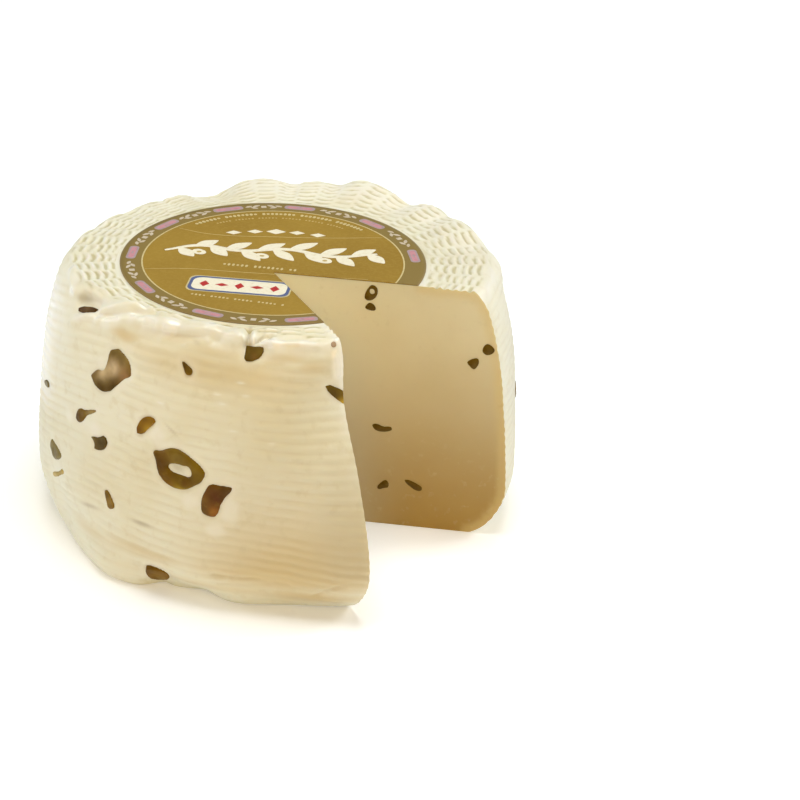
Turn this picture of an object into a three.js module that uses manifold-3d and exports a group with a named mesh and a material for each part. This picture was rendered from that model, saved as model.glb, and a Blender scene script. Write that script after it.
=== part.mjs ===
// A caciotta: a wheel of soft white cheese with one wedge cut out of it, pieces of green olive in the
// paste, and a round paper label on top. Millimetres, +Z up, standing on z = 0 with the middle of its
// box at the origin. Azimuths are degrees anticlockwise from +X, seen from above.

import * as THREE from 'three';
import { mergeVertices } from 'three/addons/utils/BufferGeometryUtils.js';
import Module from 'manifold-3d';

const solids = await Module();
solids.setup();

const degree = Math.PI / 180;
const clearance = 0.3; // between neighbouring pieces

const wheel = {
  radius: 84.5, // where the side is widest
  height: 93, // up to the label's face
  widestHeight: 18,
  footRadius: 74.8,
  crestRadius: 70.7, // where the side has turned into the top
  sideRoundness: 1.9, // superellipse exponents, 2 is a plain ellipse
  footRoundness: 1.6,
};

// Slow waves round the wheel: order is waves a turn, towards is the azimuth of a wave's crest.
const outOfRound = [
  { order: 1, size: 0.8, towards: 32 },
  { order: 2, size: 1.3, towards: -46 },
  { order: 3, size: 1.3, towards: 34 },
];
const rimWaves = [
  { order: 1, size: 0.6, towards: -55 },
  { order: 2, size: 1.9, towards: 48 },
];
const footWaves = [
  { order: 1, size: 1.2, towards: -114 },
  { order: 2, size: 2.6, towards: 53 },
];

// Where the side swells or sinks in one place. Width is in degrees, tall in millimetres.
const sideSwells = [
  { azimuth: -64.5, width: 14, height: 20, tall: 26, size: 10.4 }, // the heel sags out beside the cut
  { azimuth: -64.5, width: 14, height: 72, tall: 16, size: -8.7 },
  { azimuth: -155, width: 9, height: 12, tall: 12, size: -2.6 },
  { azimuth: -130, width: 8, height: 4, tall: 9, size: 3 },
  { azimuth: -118, width: 3, height: 0, tall: 4, size: -4.5 }, // the foot is worn away beside an olive
  { azimuth: -114, width: 4, height: 3, tall: 7, size: -3.2 },
  { azimuth: -106.5, width: 6.5, height: 0, tall: 6.5, size: -7 },
  { azimuth: 99, width: 8, height: 66, tall: 20, size: 1.2 },
  { azimuth: 9, width: 9, height: 89, tall: 6, size: 2.2 },
  { azimuth: 3, width: 9, height: 60, tall: 16, size: 1 },
];

// The front shoulder slopes in early, so the crest lies close to the label there.
const slopedShoulder = { azimuth: -112, width: 38, size: -12.3 };
// A fold runs along the front shoulder, just under the crest.
const shoulderFold = { azimuth: -112, width: 30, height: 89, tall: 1.7, size: -1.1 };

// Dips between the lumps that the mould leaves on the rim. The marked ones are deep, and between
// them shallow ones repeat.
const rimDips = [
  { azimuth: 118, width: 2.5, size: -1.2 },
  { azimuth: 113, width: 5, size: -2.8 },
  { azimuth: 88.5, width: 3, size: -1.3 },
  { azimuth: 75, width: 3, size: -1 },
  { azimuth: 51, width: 5, size: -3 },
  { azimuth: 35, width: 4, size: -1.5 },
  { azimuth: 14, width: 4, size: -1.2 },
  { azimuth: -124, width: 24, size: -1.9 }, // in front the rim stays low, so the label's edge shows
];
const rimLumps = [
  { azimuth: 99, width: 7, size: 1.7 },
  { azimuth: 66, width: 6, size: 1.9 },
  { azimuth: 24, width: 8, size: 1.3 },
];
const shallowDips = { from: 128, to: 300, pitch: 14.3, width: 3.2, size: -0.8 };

const cut = { x: -0.9, y: -12.2, farAzimuth: -8, nearAzimuth: -64.5 }; // the wedge that is cut out
const label = { x: -1.4, y: -2.7, radius: 52.6, thickness: 0.35 };
const seatHeight = wheel.height - label.thickness - clearance; // the flat top under the label
const seatMargin = 1.4; // how far the flat runs past the label

const azimuthSteps = 100;
const footSteps = 5;
const sideSteps = 14;
const topSteps = 3;

// Olive pieces that show on the rind. Wide runs round the wheel and tall up the side; turn is
// anticlockwise, seen from outside. A torn piece is a smooth outline through a few points about its
// middle, clockwise, and it may have a hole.
const rindOlives = [
  { name: 'olive_hook', form: 'torn', azimuth: -134, height: 73.7,
    outline: [[-3.6, 5.6], [-1.2, 7.5], [3.9, 6.4], [8.2, 3.4], [8, 0.2], [4.7, -1.3], [3.3, -4.7],
      [-0.7, -8.7], [-5.2, -8.2], [-8.7, -5], [-6.4, -2.9], [-3.4, -2.4], [-3, 1]] },
  { name: 'olive_ring', form: 'torn', azimuth: -110, height: 49.2,
    outline: [[-10.4, 4.1], [-5.8, 5.3], [-2.3, 7], [4.8, 4.4], [9.3, 0.6], [8, -2.4], [5, -5],
      [1, -6.8], [-4.6, -6.2], [-8.2, -2.4], [-9.3, 2.2]],
    hole: [[-4.5, 1], [0.7, 1.5], [3.9, 1.4], [4.5, -1.8], [0.4, -1.4], [-3.4, -1]] },
  { name: 'olive_tail', form: 'torn', azimuth: -100, height: 41.2,
    outline: [[-3.3, 5.2], [0.9, 5.5], [5.4, 4.9], [3.2, 2.5], [1, -0.1], [0.5, -2.6], [-0.6, -5.9],
      [-2.3, -5.4], [-4.3, -6.1], [-6.2, -4.6], [-6.2, -1.6], [-5, 2.4]] },
  { name: 'olive_arc', form: 'torn', azimuth: -120.5, height: 60.8,
    outline: [[-2.6, -4], [-2.9, -1.1], [-1.6, 1.7], [0.9, 3.1], [3.5, 2.7], [2.6, 0.6], [1, -1.5],
      [-0.2, -3.4]] },
  { name: 'olive_crescent_upper', form: 'torn', azimuth: -141, height: 54.7,
    outline: [[-5.9, -3.6], [-5.8, -0.7], [-3.8, 1.4], [-1, 1.5], [2.1, 2.9], [5.8, 3.6], [2.6, 1.5],
      [0.3, -0.3], [-1.6, -2.7], [-4.4, -4.6]] },
  { name: 'olive_crescent_lower', form: 'torn', azimuth: -135, height: 48.1,
    outline: [[-4.4, 0.1], [-0.6, 1.5], [2, 3.3], [3.9, 2], [3.5, -0.6], [0.6, -2.8], [-2.2, -3.1],
      [-2, -1.1]] },
  { name: 'olive_sliver_upper', form: 'torn', azimuth: -111, height: 81.5,
    outline: [[-2.6, 1.9], [-0.8, 1.3], [1.8, -0.6], [1.5, -1.9], [-0.1, -2.1], [-1.5, -0.3]] },
  { name: 'olive_notch', form: 'torn', azimuth: -93.5, height: 88.6,
    outline: [[-3, 1.9], [-0.4, 2.1], [2.6, 2.7], [3.1, 1.1], [2.4, -1], [0.2, -2.9], [-2.2, -3.1],
      [-2.7, -0.2]] },
  { name: 'olive_edge', form: 'torn', azimuth: -71.5, height: 74.5, trimmed: true,
    outline: [[-3.3, 4.3], [-2.3, 4.6], [0.3, 2.9], [2.9, 0.8], [4.8, -1.4], [4.6, -5.5], [1.4, -2.7],
      [-2.6, 2.2]] },
  { name: 'olive_edge_speck', form: 'bar', azimuth: -71.5, height: 91.1, wide: 2, tall: 2.1, turn: 0 },
  { name: 'olive_side_speck', form: 'bar', azimuth: -165, height: 51.9, wide: 6.4, tall: 2.2, turn: 12 },
  { name: 'olive_side_upright', form: 'torn', azimuth: -155.5, height: 33.3,
    outline: [[-4.4, 2.2], [-1, 1.9], [2.9, 1], [5.5, -0.6], [2, -3], [-1.5, -4.8], [-3.8, -3.5],
      [-5.6, -0.9]] },
  { name: 'olive_side_flat', form: 'torn', azimuth: -155.5, height: 24.3,
    outline: [[-7, -3.6], [0, 0.1], [6.2, 4.2], [6.6, 2.8], [0, -1.7], [-6.3, -4.8]] },
  { name: 'olive_sliver_lower', form: 'torn', azimuth: -130, height: 30,
    outline: [[-2.3, 2.6], [-1, 2.6], [1.6, -0.4], [2.3, -2.4], [-0.1, -3.6], [-1.5, -0.7]] },
  { name: 'olive_foot', form: 'torn', azimuth: -116.5, height: 6.6,
    outline: [[-3.6, 3.7], [-1.6, 4.2], [0.8, 3.8], [3.1, 2.6], [3.9, -0.4], [3.2, -3], [0.2, -3.6],
      [-2.6, -3.4], [-3.8, -0.6]] },
  { name: 'olive_shoulder', form: 'bar', azimuth: -149.5, height: 87.4, wide: 9.4, tall: 2.6, turn: 25 },
];

// Olive pieces in the two cut faces: along is the way out from the middle of the cut. An arc is the
// part of a ring between two angles.
const cutOlives = [
  { name: 'olive_far_eye', face: 'far', form: 'torn', along: 34, height: 88.5,
    outline: [[0, 3], [1.7, 2.4], [2.2, 0], [1, -2.2], [-0.8, -2.9], [-2.1, -2.5], [-2.2, -0.9], [-1.5, 1]],
    hole: [[-0.5, 1.4], [0.9, 1.3], [1, -0.2], [-0.4, -0.3]] },
  { name: 'olive_far_drop', face: 'far', form: 'torn', along: 33.8, height: 83.5,
    outline: [[-0.5, 1.2], [0.8, 1], [1.9, -1], [1, -1.6], [-1.9, -0.8], [-1.3, 0.4]] },
  { name: 'olive_far_rind_lower', face: 'far', form: 'torn', along: 69.8, height: 65.6,
    outline: [[-2.1, 0.3], [1.5, 2.2], [2.1, 0.7], [0.5, -2.2], [-1, -1.1]] },
  { name: 'olive_far_rind_upper', face: 'far', form: 'torn', along: 75, height: 71.4,
    outline: [[-0.5, 2.1], [2.1, 0], [0.9, -1.7], [-0.8, -2.1], [-2.1, -0.9], [-1.7, 1]] },
  { name: 'olive_far_middle', face: 'far', form: 'torn', along: 39.2, height: 37.6,
    outline: [[-3.6, 0.9], [-2, 1.4], [0.5, 0.5], [2.9, 0.8], [3.6, -0.1], [2.4, -0.9], [0.1, -1.4],
      [-2.2, -1.1]] },
  { name: 'olive_far_low_left', face: 'far', form: 'torn', along: 40, height: 15.4,
    outline: [[0.9, 2], [2, 1], [1.9, -0.8], [0.3, -1.2], [-1.3, -2], [-2, -1.4], [-0.9, 0.4]] },
  { name: 'olive_far_low_right', face: 'far', form: 'torn', along: 50.8, height: 16.3,
    outline: [[-3.2, 1.8], [-1.6, 1.9], [0.9, 0.9], [3.2, -0.6], [2.9, -1.9], [1, -1.8], [-0.9, -0.7],
      [-2.4, 0.5]] },
  { name: 'olive_near_top', face: 'near', form: 'bar', along: 30, height: 82, wide: 3.4, tall: 5,
    turn: 24 },
  { name: 'olive_near_upper', face: 'near', form: 'arc', along: 52, height: 63, wide: 8, tall: 7.4,
    band: 2.4, from: 20, to: 250 },
  { name: 'olive_near_middle', face: 'near', form: 'bar', along: 24, height: 48, wide: 5.6, tall: 2.4,
    turn: -30 },
  { name: 'olive_near_speck', face: 'near', form: 'bar', along: 41, height: 38, wide: 2.6, tall: 2.4,
    turn: 0 },
  { name: 'olive_near_chain_upper', face: 'near', form: 'flag', along: 62, height: 30, wide: 6,
    tall: 5.4, turn: 70 },
  { name: 'olive_near_chain_lower', face: 'near', form: 'bar', along: 64.5, height: 22.5, wide: 5.4,
    tall: 3.4, turn: 35 },
  { name: 'olive_near_low', face: 'near', form: 'bar', along: 33, height: 15, wide: 6, tall: 2.6,
    turn: 12 },
];

// Round the back the pieces are strewn by chance, from a fixed seed.
const strewnOlives = { count: 14, seed: 23, from: 0, to: 172, lowest: 9, highest: 78, spacing: 21 };

const oliveDepth = 3;
const ringSides = 14;
const barSides = 8;
const tornSides = 14;

const colours = { rind: 0xeee5cb, olive: 0x6f5212, label: 0x9c7d2c };

// --- The wheel's surface ---

const wrapped = (angle) => THREE.MathUtils.euclideanModulo(angle + 180, 360) - 180;

const bell = (offset, width) => Math.exp(-((offset / width) ** 2));

const waves = (list, azimuth) =>
  list.reduce((sum, wave) => sum + wave.size * Math.cos(wave.order * (azimuth - wave.towards) * degree), 0);

const bells = (list, azimuth) =>
  list.reduce((sum, item) => sum + item.size * bell(wrapped(azimuth - item.azimuth), item.width), 0);

function swellsAt(azimuth, height) {
  return [...sideSwells, shoulderFold].reduce((sum, item) =>
    sum + item.size * bell(wrapped(azimuth - item.azimuth), item.width)
      * bell(height - item.height, item.tall), 0);
}

function repeatedDips(azimuth) {
  const turn = THREE.MathUtils.euclideanModulo(azimuth - shallowDips.from, 360);
  if (turn > shallowDips.to - shallowDips.from) return 0;
  const fromDip = turn - shallowDips.pitch * Math.round(turn / shallowDips.pitch);
  return shallowDips.size * bell(fromDip, shallowDips.width);
}

function crestOf(azimuth) {
  return {
    radius: wheel.crestRadius + bells([slopedShoulder], azimuth),
    height: wheel.height + waves(rimWaves, azimuth) + bells(rimDips, azimuth) + bells(rimLumps, azimuth)
      + repeatedDips(azimuth),
  };
}

const onCircle = (azimuth, radius, height) =>
  new THREE.Vector3(radius * Math.cos(azimuth * degree), radius * Math.sin(azimuth * degree), height);

// The side of the wheel: rise is -1 at the foot's edge, 0 where it is widest and 1 at the crest.
function sidePoint(azimuth, rise) {
  const crest = crestOf(azimuth);
  const widest = wheel.radius + waves(outOfRound, azimuth);
  const inwards = Math.cos(rise * 90 * degree);
  const upwards = Math.abs(Math.sin(rise * 90 * degree));
  if (rise < 0) {
    const foot = wheel.footRadius + waves(footWaves, azimuth);
    const height = wheel.widestHeight * (1 - upwards ** (2 / wheel.footRoundness));
    const radius = foot + (widest - foot) * inwards ** (2 / wheel.footRoundness);
    return onCircle(azimuth, radius + swellsAt(azimuth, height), height);
  }
  const height = wheel.widestHeight
    + (crest.height - wheel.widestHeight) * upwards ** (2 / wheel.sideRoundness);
  const radius = crest.radius + (widest - crest.radius) * Math.max(inwards, 0) ** (2 / wheel.sideRoundness);
  return onCircle(azimuth, radius + swellsAt(azimuth, height), height);
}

// How far it is from (x, y) along an azimuth to a circle about the label's middle.
function reachFrom(x, y, azimuth, radius) {
  const direction = new THREE.Vector2(Math.cos(azimuth * degree), Math.sin(azimuth * degree));
  const middle = new THREE.Vector2(label.x - x, label.y - y);
  const along = middle.dot(direction);
  return along + Math.sqrt(along ** 2 - middle.lengthSq() + radius ** 2);
}

// The top, from the crest (inward 0) down to the flat seat of the label (inward 1).
function topPoint(azimuth, inward) {
  const crest = sidePoint(azimuth, 1);
  const seat = onCircle(azimuth, reachFrom(0, 0, azimuth, label.radius + seatMargin), seatHeight);
  const point = crest.clone().lerp(seat, inward);
  point.z = THREE.MathUtils.lerp(crest.z, seat.z, THREE.MathUtils.smoothstep(inward, 0, 1));
  return point;
}

// The rise at which the side reaches a height.
function riseAt(azimuth, height) {
  let low = -1;
  let high = 1;
  for (let step = 0; step < 24; step += 1) {
    const middle = (low + high) / 2;
    if (sidePoint(azimuth, middle).z < height) low = middle;
    else high = middle;
  }
  return (low + high) / 2;
}

// --- Solids ---

function geometryOf(positions, faces) {
  const geometry = new THREE.BufferGeometry();
  geometry.setAttribute('position', new THREE.Float32BufferAttribute(positions, 3));
  geometry.setIndex(Array.from(faces));
  return geometry;
}

function solidOf(geometry) {
  const bare = geometry.clone();
  bare.deleteAttribute('normal');
  bare.deleteAttribute('uv');
  const merged = mergeVertices(bare, 1e-4);
  return new solids.Manifold(new solids.Mesh({
    numProp: 3,
    vertProperties: Float32Array.from(merged.attributes.position.array),
    triVerts: Uint32Array.from(merged.index.array),
  }));
}

function meshOf(name, solid, colour) {
  const { vertProperties, triVerts } = solid.getMesh();
  const geometry = geometryOf(vertProperties, triVerts);
  geometry.computeVertexNormals();
  const material = new THREE.MeshStandardMaterial({ color: colour, roughness: 0.55, metalness: 0 });
  const mesh = new THREE.Mesh(geometry, material);
  mesh.name = name;
  return mesh;
}

function wholeWheel() {
  const rings = [];
  for (let step = 0; step < footSteps; step += 1) {
    rings.push((azimuth) => sidePoint(azimuth, step / footSteps - 1));
  }
  for (let step = 0; step <= sideSteps; step += 1) {
    rings.push((azimuth) => sidePoint(azimuth, step / sideSteps));
  }
  for (let step = 1; step <= topSteps; step += 1) {
    rings.push((azimuth) => topPoint(azimuth, step / topSteps));
  }

  const positions = [];
  const faces = [];
  rings.forEach((ring, row) => {
    for (let column = 0; column < azimuthSteps; column += 1) {
      positions.push(...ring((column * 360) / azimuthSteps).toArray());
      if (row === rings.length - 1) continue;
      const corner = row * azimuthSteps + column;
      const next = row * azimuthSteps + ((column + 1) % azimuthSteps);
      faces.push(corner, next, next + azimuthSteps, corner, next + azimuthSteps, corner + azimuthSteps);
    }
  });
  const footMiddle = rings.length * azimuthSteps;
  const lastRow = footMiddle - azimuthSteps;
  positions.push(0, 0, 0, 0, 0, seatHeight);
  for (let column = 0; column < azimuthSteps; column += 1) {
    const next = (column + 1) % azimuthSteps;
    faces.push(footMiddle, next, column, footMiddle + 1, lastRow + column, lastRow + next);
  }
  return solidOf(geometryOf(positions, faces));
}

// The wedge that is cut out, opened by a margin on both of its faces.
function wedge(margin = 0) {
  const beyond = 2 * wheel.radius;
  const corner = (azimuth, side) => [
    cut.x + beyond * Math.cos(azimuth * degree) - side * margin * Math.sin(azimuth * degree),
    cut.y + beyond * Math.sin(azimuth * degree) + side * margin * Math.cos(azimuth * degree),
  ];
  const middle = ((cut.farAzimuth + cut.nearAzimuth) / 2) * degree;
  const back = margin / Math.sin(((cut.farAzimuth - cut.nearAzimuth) / 2) * degree);
  const outline = new THREE.Shape();
  outline.moveTo(cut.x - back * Math.cos(middle), cut.y - back * Math.sin(middle));
  outline.lineTo(...corner(cut.nearAzimuth, -1));
  outline.lineTo(...corner(cut.farAzimuth, 1));
  const prism = new THREE.ExtrudeGeometry(outline, { depth: wheel.height * 1.2, bevelEnabled: false });
  return solidOf(prism.translate(0, 0, -wheel.height * 0.1));
}

function labelSolid() {
  const corner = (azimuth) => {
    const { x, y } = onCircle(azimuth, reachFrom(cut.x, cut.y, azimuth, label.radius), 0);
    return new THREE.Vector2(cut.x + x, cut.y + y);
  };
  const angleOf = (point) => Math.atan2(point.y - label.y, point.x - label.x);
  const far = corner(cut.farAzimuth);
  const near = corner(cut.nearAzimuth);
  const outline = new THREE.Shape();
  outline.moveTo(cut.x, cut.y);
  outline.lineTo(far.x, far.y);
  outline.absarc(label.x, label.y, label.radius, angleOf(far), angleOf(near) + 2 * Math.PI, false);
  outline.lineTo(cut.x, cut.y);
  const shape = { depth: label.thickness, bevelEnabled: false, curveSegments: 64 };
  const sheet = new THREE.ExtrudeGeometry(outline, shape);
  return solidOf(sheet.translate(0, 0, wheel.height - label.thickness));
}

// --- Olive pieces ---

function ovalPoints(wide, tall, sides, squareness = 2) {
  return Array.from({ length: sides }, (_, step) => {
    const angle = (2 * Math.PI * (step + 0.5)) / sides;
    const across = Math.cos(angle);
    const up = Math.sin(angle);
    return new THREE.Vector2(
      (wide / 2) * Math.sign(across) * Math.abs(across) ** (2 / squareness),
      (tall / 2) * Math.sign(up) * Math.abs(up) ** (2 / squareness),
    );
  });
}

function arcPoints(olive, grow) {
  const endGrow = (grow / (olive.wide / 2)) / degree;
  const from = olive.from - endGrow;
  const to = olive.to + endGrow;
  const steps = Math.max(4, Math.round((to - from) / 24));
  const along = (inset) => Array.from({ length: steps + 1 }, (_, step) => {
    const angle = THREE.MathUtils.lerp(from, to, step / steps) * degree;
    const size = new THREE.Vector2(olive.wide / 2 - inset, olive.tall / 2 - inset);
    return new THREE.Vector2(Math.cos(angle), Math.sin(angle)).multiply(size);
  });
  return [...along(-grow), ...along(olive.band + grow).reverse()];
}

// A closed line through points given clockwise, with its sides moved outward by grow.
function tornPoints(points, grow) {
  const knots = points.map(([across, up]) => new THREE.Vector3(across, up, 0));
  const line = new THREE.CatmullRomCurve3(knots, true, 'centripetal');
  const count = Math.max(tornSides, points.length);
  const places = Array.from({ length: count }, (_, step) => line.getPointAt(step / count));
  const outwards = places.map((place, index) => {
    const heading = places[(index + 1) % count].clone().sub(place).normalize();
    return new THREE.Vector2(-heading.y, heading.x);
  });
  return places.map(({ x, y }, index) => {
    const after = outwards[index];
    const corner = after.clone().add(outwards[(index + count - 1) % count]).normalize();
    const move = corner.multiplyScalar(grow / Math.max(corner.dot(after), 0.4));
    return new THREE.Vector2(x, y).add(move);
  }).reverse();
}

// Each form draws its outline, grown outward all round for the pocket that it sits in.
const forms = {
  bar: (olive, grow) =>
    new THREE.Shape(ovalPoints(olive.wide + 2 * grow, olive.tall + 2 * grow, barSides, 2.4)),
  arc: (olive, grow) => new THREE.Shape(arcPoints(olive, grow)),
  ring: (olive, grow) => {
    const outline = new THREE.Shape(ovalPoints(olive.wide + 2 * grow, olive.tall + 2 * grow, ringSides));
    const inset = 2 * (olive.band + grow);
    outline.holes.push(new THREE.Path(ovalPoints(olive.wide - inset, olive.tall - inset, ringSides)));
    return outline;
  },
  torn: (olive, grow) => {
    const outline = new THREE.Shape(tornPoints(olive.outline, grow));
    if (olive.hole) outline.holes.push(new THREE.Path(tornPoints(olive.hole, -grow)));
    return outline;
  },
  // A torn flap: broad at the top, with one corner drawn out and one leg left hanging.
  flag: (olive, grow) => {
    const size = new THREE.Vector2(olive.wide / 2 + grow, olive.tall / 2 + grow);
    const corners = [
      [1, 0.72], [0.5, 0.98], [-0.62, 0.98], [-0.94, -0.4], [-0.98, -1], [0.02, -1], [0.12, -0.3],
    ];
    return new THREE.Shape(corners.map(([across, up]) => new THREE.Vector2(across, up).multiply(size)));
  },
};

function prism(olive, frame, grow, depth, proud) {
  const shape = { depth: depth + proud, bevelEnabled: false };
  const body = new THREE.ExtrudeGeometry(forms[olive.form](olive, grow), shape);
  body.translate(0, 0, -depth);
  body.rotateZ((olive.turn ?? 0) * degree);
  return solidOf(body.applyMatrix4(frame));
}

// A frame on the rind: X runs round the wheel, Y up the side and Z straight out of the cheese.
function rindFrame({ azimuth, height }) {
  const rise = riseAt(azimuth, height);
  const step = 0.01;
  const point = sidePoint(azimuth, rise);
  const round = sidePoint(azimuth + 1, rise).sub(sidePoint(azimuth - 1, rise)).normalize();
  const up = sidePoint(azimuth, Math.min(rise + step, 1)).sub(sidePoint(azimuth, rise - step)).normalize();
  const out = round.clone().cross(up).normalize();
  return new THREE.Matrix4().makeBasis(round, out.clone().cross(round), out).setPosition(point);
}

// A frame on a cut face: X runs outward along the face, or back for the near one, and Y is up.
function cutFrame({ face, along, height }) {
  const azimuth = face === 'far' ? cut.farAzimuth : cut.nearAzimuth;
  const outward = onCircle(azimuth, 1, 0);
  const across = face === 'far' ? outward.clone() : outward.clone().negate();
  const point = new THREE.Vector3(cut.x, cut.y, height).addScaledVector(outward, along);
  const up = new THREE.Vector3(0, 0, 1);
  return new THREE.Matrix4().makeBasis(across, up, across.clone().cross(up)).setPosition(point);
}

function seededChance(seed) {
  let state = seed;
  return (low, high) => {
    state = (state * 1664525 + 1013904223) % 4294967296;
    return low + ((high - low) * state) / 4294967296;
  };
}

function strewOlives() {
  const chance = seededChance(strewnOlives.seed);
  const kinds = ['bar', 'arc', 'bar', 'ring', 'bar', 'flag', 'bar'];
  const placed = [];
  while (placed.length < strewnOlives.count) {
    const azimuth = chance(strewnOlives.from, strewnOlives.to);
    const height = chance(strewnOlives.lowest, strewnOlives.highest);
    const apart = (other) =>
      Math.hypot((azimuth - other.azimuth) * degree * wheel.radius, height - other.height);
    if (placed.some((other) => apart(other) < strewnOlives.spacing)) continue;
    const form = kinds[placed.length % kinds.length];
    const size = form === 'bar' ? chance(4.5, 9) : chance(9, 15);
    const from = chance(0, 360);
    placed.push({
      name: `olive_back_${String(placed.length + 1).padStart(2, '0')}`,
      form,
      azimuth,
      height,
      wide: size,
      tall: form === 'bar' ? chance(2.6, 4) : size * chance(0.75, 0.95),
      band: 3.2,
      from,
      to: from + chance(110, 240),
      turn: chance(-70, 70),
    });
  }
  return placed;
}

// --- The cheese ---

function widthOf(outline) {
  const across = outline.map(([x]) => x);
  return Math.max(...across) - Math.min(...across);
}

function seatOlive(olive, frame, proud) {
  const piece = prism(olive, frame, 0, oliveDepth, proud);
  const pocket = prism(olive, frame, clearance, oliveDepth + clearance, 5);
  return { olive, piece: olive.trimmed ? piece.subtract(wedge()) : piece, pocket };
}

const seated = [
  ...[...rindOlives, ...strewOlives()].map((olive) =>
    seatOlive(olive, rindFrame(olive), (olive.wide ?? widthOf(olive.outline)) > 8 ? 0.05 : 0.3)),
  ...cutOlives.map((olive) => seatOlive(olive, cutFrame(olive), 0.15)),
];

const cheese = seated.reduce((solid, { pocket }) => solid.subtract(pocket), wholeWheel().subtract(wedge()));

const caciotta = new THREE.Group();
caciotta.add(meshOf('cheese_wheel', cheese, colours.rind));
caciotta.add(meshOf('label', labelSolid(), colours.label));
seated.forEach(({ olive, piece }) => caciotta.add(meshOf(olive.name, piece, colours.olive)));

const box = new THREE.Box3().setFromObject(caciotta.children[0]);
const middle = box.getCenter(new THREE.Vector3());
caciotta.position.set(-middle.x, -middle.y, -box.min.z);

export default caciotta;
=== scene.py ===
import math

import bmesh
import bpy
import numpy as np
from mathutils import Matrix, Vector, kdtree, noise


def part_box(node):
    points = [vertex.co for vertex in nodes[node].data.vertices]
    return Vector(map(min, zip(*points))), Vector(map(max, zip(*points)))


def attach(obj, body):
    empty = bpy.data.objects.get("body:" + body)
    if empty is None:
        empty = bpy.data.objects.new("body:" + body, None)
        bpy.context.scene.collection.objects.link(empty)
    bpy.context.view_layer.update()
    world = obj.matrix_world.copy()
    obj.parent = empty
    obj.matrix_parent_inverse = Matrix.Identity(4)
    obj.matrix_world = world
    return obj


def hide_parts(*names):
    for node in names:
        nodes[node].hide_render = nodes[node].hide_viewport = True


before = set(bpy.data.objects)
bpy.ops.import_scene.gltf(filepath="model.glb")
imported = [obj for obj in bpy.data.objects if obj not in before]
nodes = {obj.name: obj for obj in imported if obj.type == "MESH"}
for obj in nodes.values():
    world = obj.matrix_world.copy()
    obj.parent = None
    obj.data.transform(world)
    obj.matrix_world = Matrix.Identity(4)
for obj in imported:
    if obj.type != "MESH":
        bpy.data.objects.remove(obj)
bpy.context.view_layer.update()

mm = 0.001
hair = 1e-7  # metres, within which a cut counts as on its plane
slack = 1e-6  # how near to 0 or 1 a place along the shell counts as its end
scene = bpy.context.scene

# Azimuths are degrees anticlockwise from +X seen from above, and lengths are millimetres.
# A row is a level on the shell: -1 at the foot's edge, 0 where it is widest, 1 at the crest
# and 2 at the label's seat. Four numbers for a mask of clouds are size and seed, or scale and
# detail in a material, then the low and the high level. Three for a grain are scale, strength and depth.
wheel = {
    "radius": 84.5, "height": 93.0, "widestHeight": 18.0, "footRadius": 74.8,
    "crestRadius": 70.7, "sideRoundness": 1.9, "footRoundness": 1.6,
    "outOfRound": [(1, 0.8, 32), (2, 1.3, -46), (3, 1.3, 34)],  # waves a turn, size, azimuth of a crest
    "rimWaves": [(1, 0.6, -55), (2, 1.9, 48)],
    "footWaves": [(1, 1.2, -114), (2, 2.6, 53)],
    "sideSwells": [  # azimuth, width in degrees, height, tall, size
        (-64.5, 14, 20, 26, 10.4), (-64.5, 14, 72, 16, -8.7), (-155, 9, 12, 12, -2.6), (-130, 8, 4, 9, 3.0),
        (-118, 3, 0, 4, -4.5), (-114, 4, 3, 7, -3.2), (-106.5, 6.5, 0, 6.5, -7.0), (99, 8, 66, 20, 1.2),
        (9, 9, 89, 6, 2.2), (3, 9, 60, 16, 1.0), (-112, 30, 89, 1.7, -1.1),
    ],
    "slopedShoulder": [(-112, 38, -12.3)],  # azimuth, width in degrees, size
    "rimLumps": [
        (113, 5, -2.8), (118, 2.5, -1.2), (88.5, 3, -1.3), (75, 3, -1.0), (51, 5, -3.0), (35, 4, -1.5),
        (14, 4, -1.2), (99, 7, 1.7), (66, 6, 1.9), (24, 8, 1.3), (-124, 24, -1.9),
    ],
    "shallowDips": {"from": 128.0, "to": 300.0, "pitch": 14.3, "width": 3.2, "size": -0.8},
}
cut = {"x": -0.9, "y": -12.2, "farAzimuth": -8.0, "nearAzimuth": -64.5}
label = {"x": -1.4, "y": -2.7, "radius": 52.6, "seatMargin": 1.4, "seatDrop": 0.42}

# the frame's origin is the middle of the wheel's box, so the wheel's axis is found from the label
labelLow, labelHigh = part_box("label")
axisX = labelLow.x / mm + label["radius"] - label["x"]
axisY = labelHigh.y / mm - label["radius"] - label["y"]


def toScene(x, y, z):  # millimetres from the wheel's axis to metres in the frame
    return Vector(((x + axisX) * mm, (y + axisY) * mm, z * mm))


def cutNormal(side):  # points out of the paste at the far or the near cut face
    turn = math.radians(cut[side + "Azimuth"])
    return Vector((-math.sin(turn), math.cos(turn), 0)) * (-1 if side == "far" else 1)


def wrapped(angle):
    return (np.asarray(angle) + 180.0) % 360.0 - 180.0


def bell(offset, width):
    return np.exp(-(np.asarray(offset) / width) ** 2)


def around(azimuth, at, width):
    return bell(wrapped(azimuth - at), width)


def smooth(value, low, high):
    t = np.clip((np.asarray(value) - low) / (high - low), 0.0, 1.0)
    return t * t * (3.0 - 2.0 * t)


def between(value, rise, fall):  # 1 after a rise and before a fall, each given as two levels
    return smooth(value, *rise) * (1 - smooth(value, *fall))


def atLeast(least, mask):  # a mask from 0 to 1 that is lifted to start at least
    return least + (1 - least) * mask


def noiseAt(points, size, seed):  # soft lumps of a size in millimetres, from -1 to 1
    shift = Vector((seed * 7.3, seed * 3.1, seed * 5.7))
    return np.array([noise.noise(Vector(p) / size + shift) for p in points])


def cloudAt(points, size, seed, low, high):  # the same as a mask from 0 to 1
    return smooth(noiseAt(points, size, seed), low, high)


def waves(rows, azimuth):
    return sum(size * np.cos(np.radians(order * (azimuth - towards))) for order, size, towards in rows)


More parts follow.
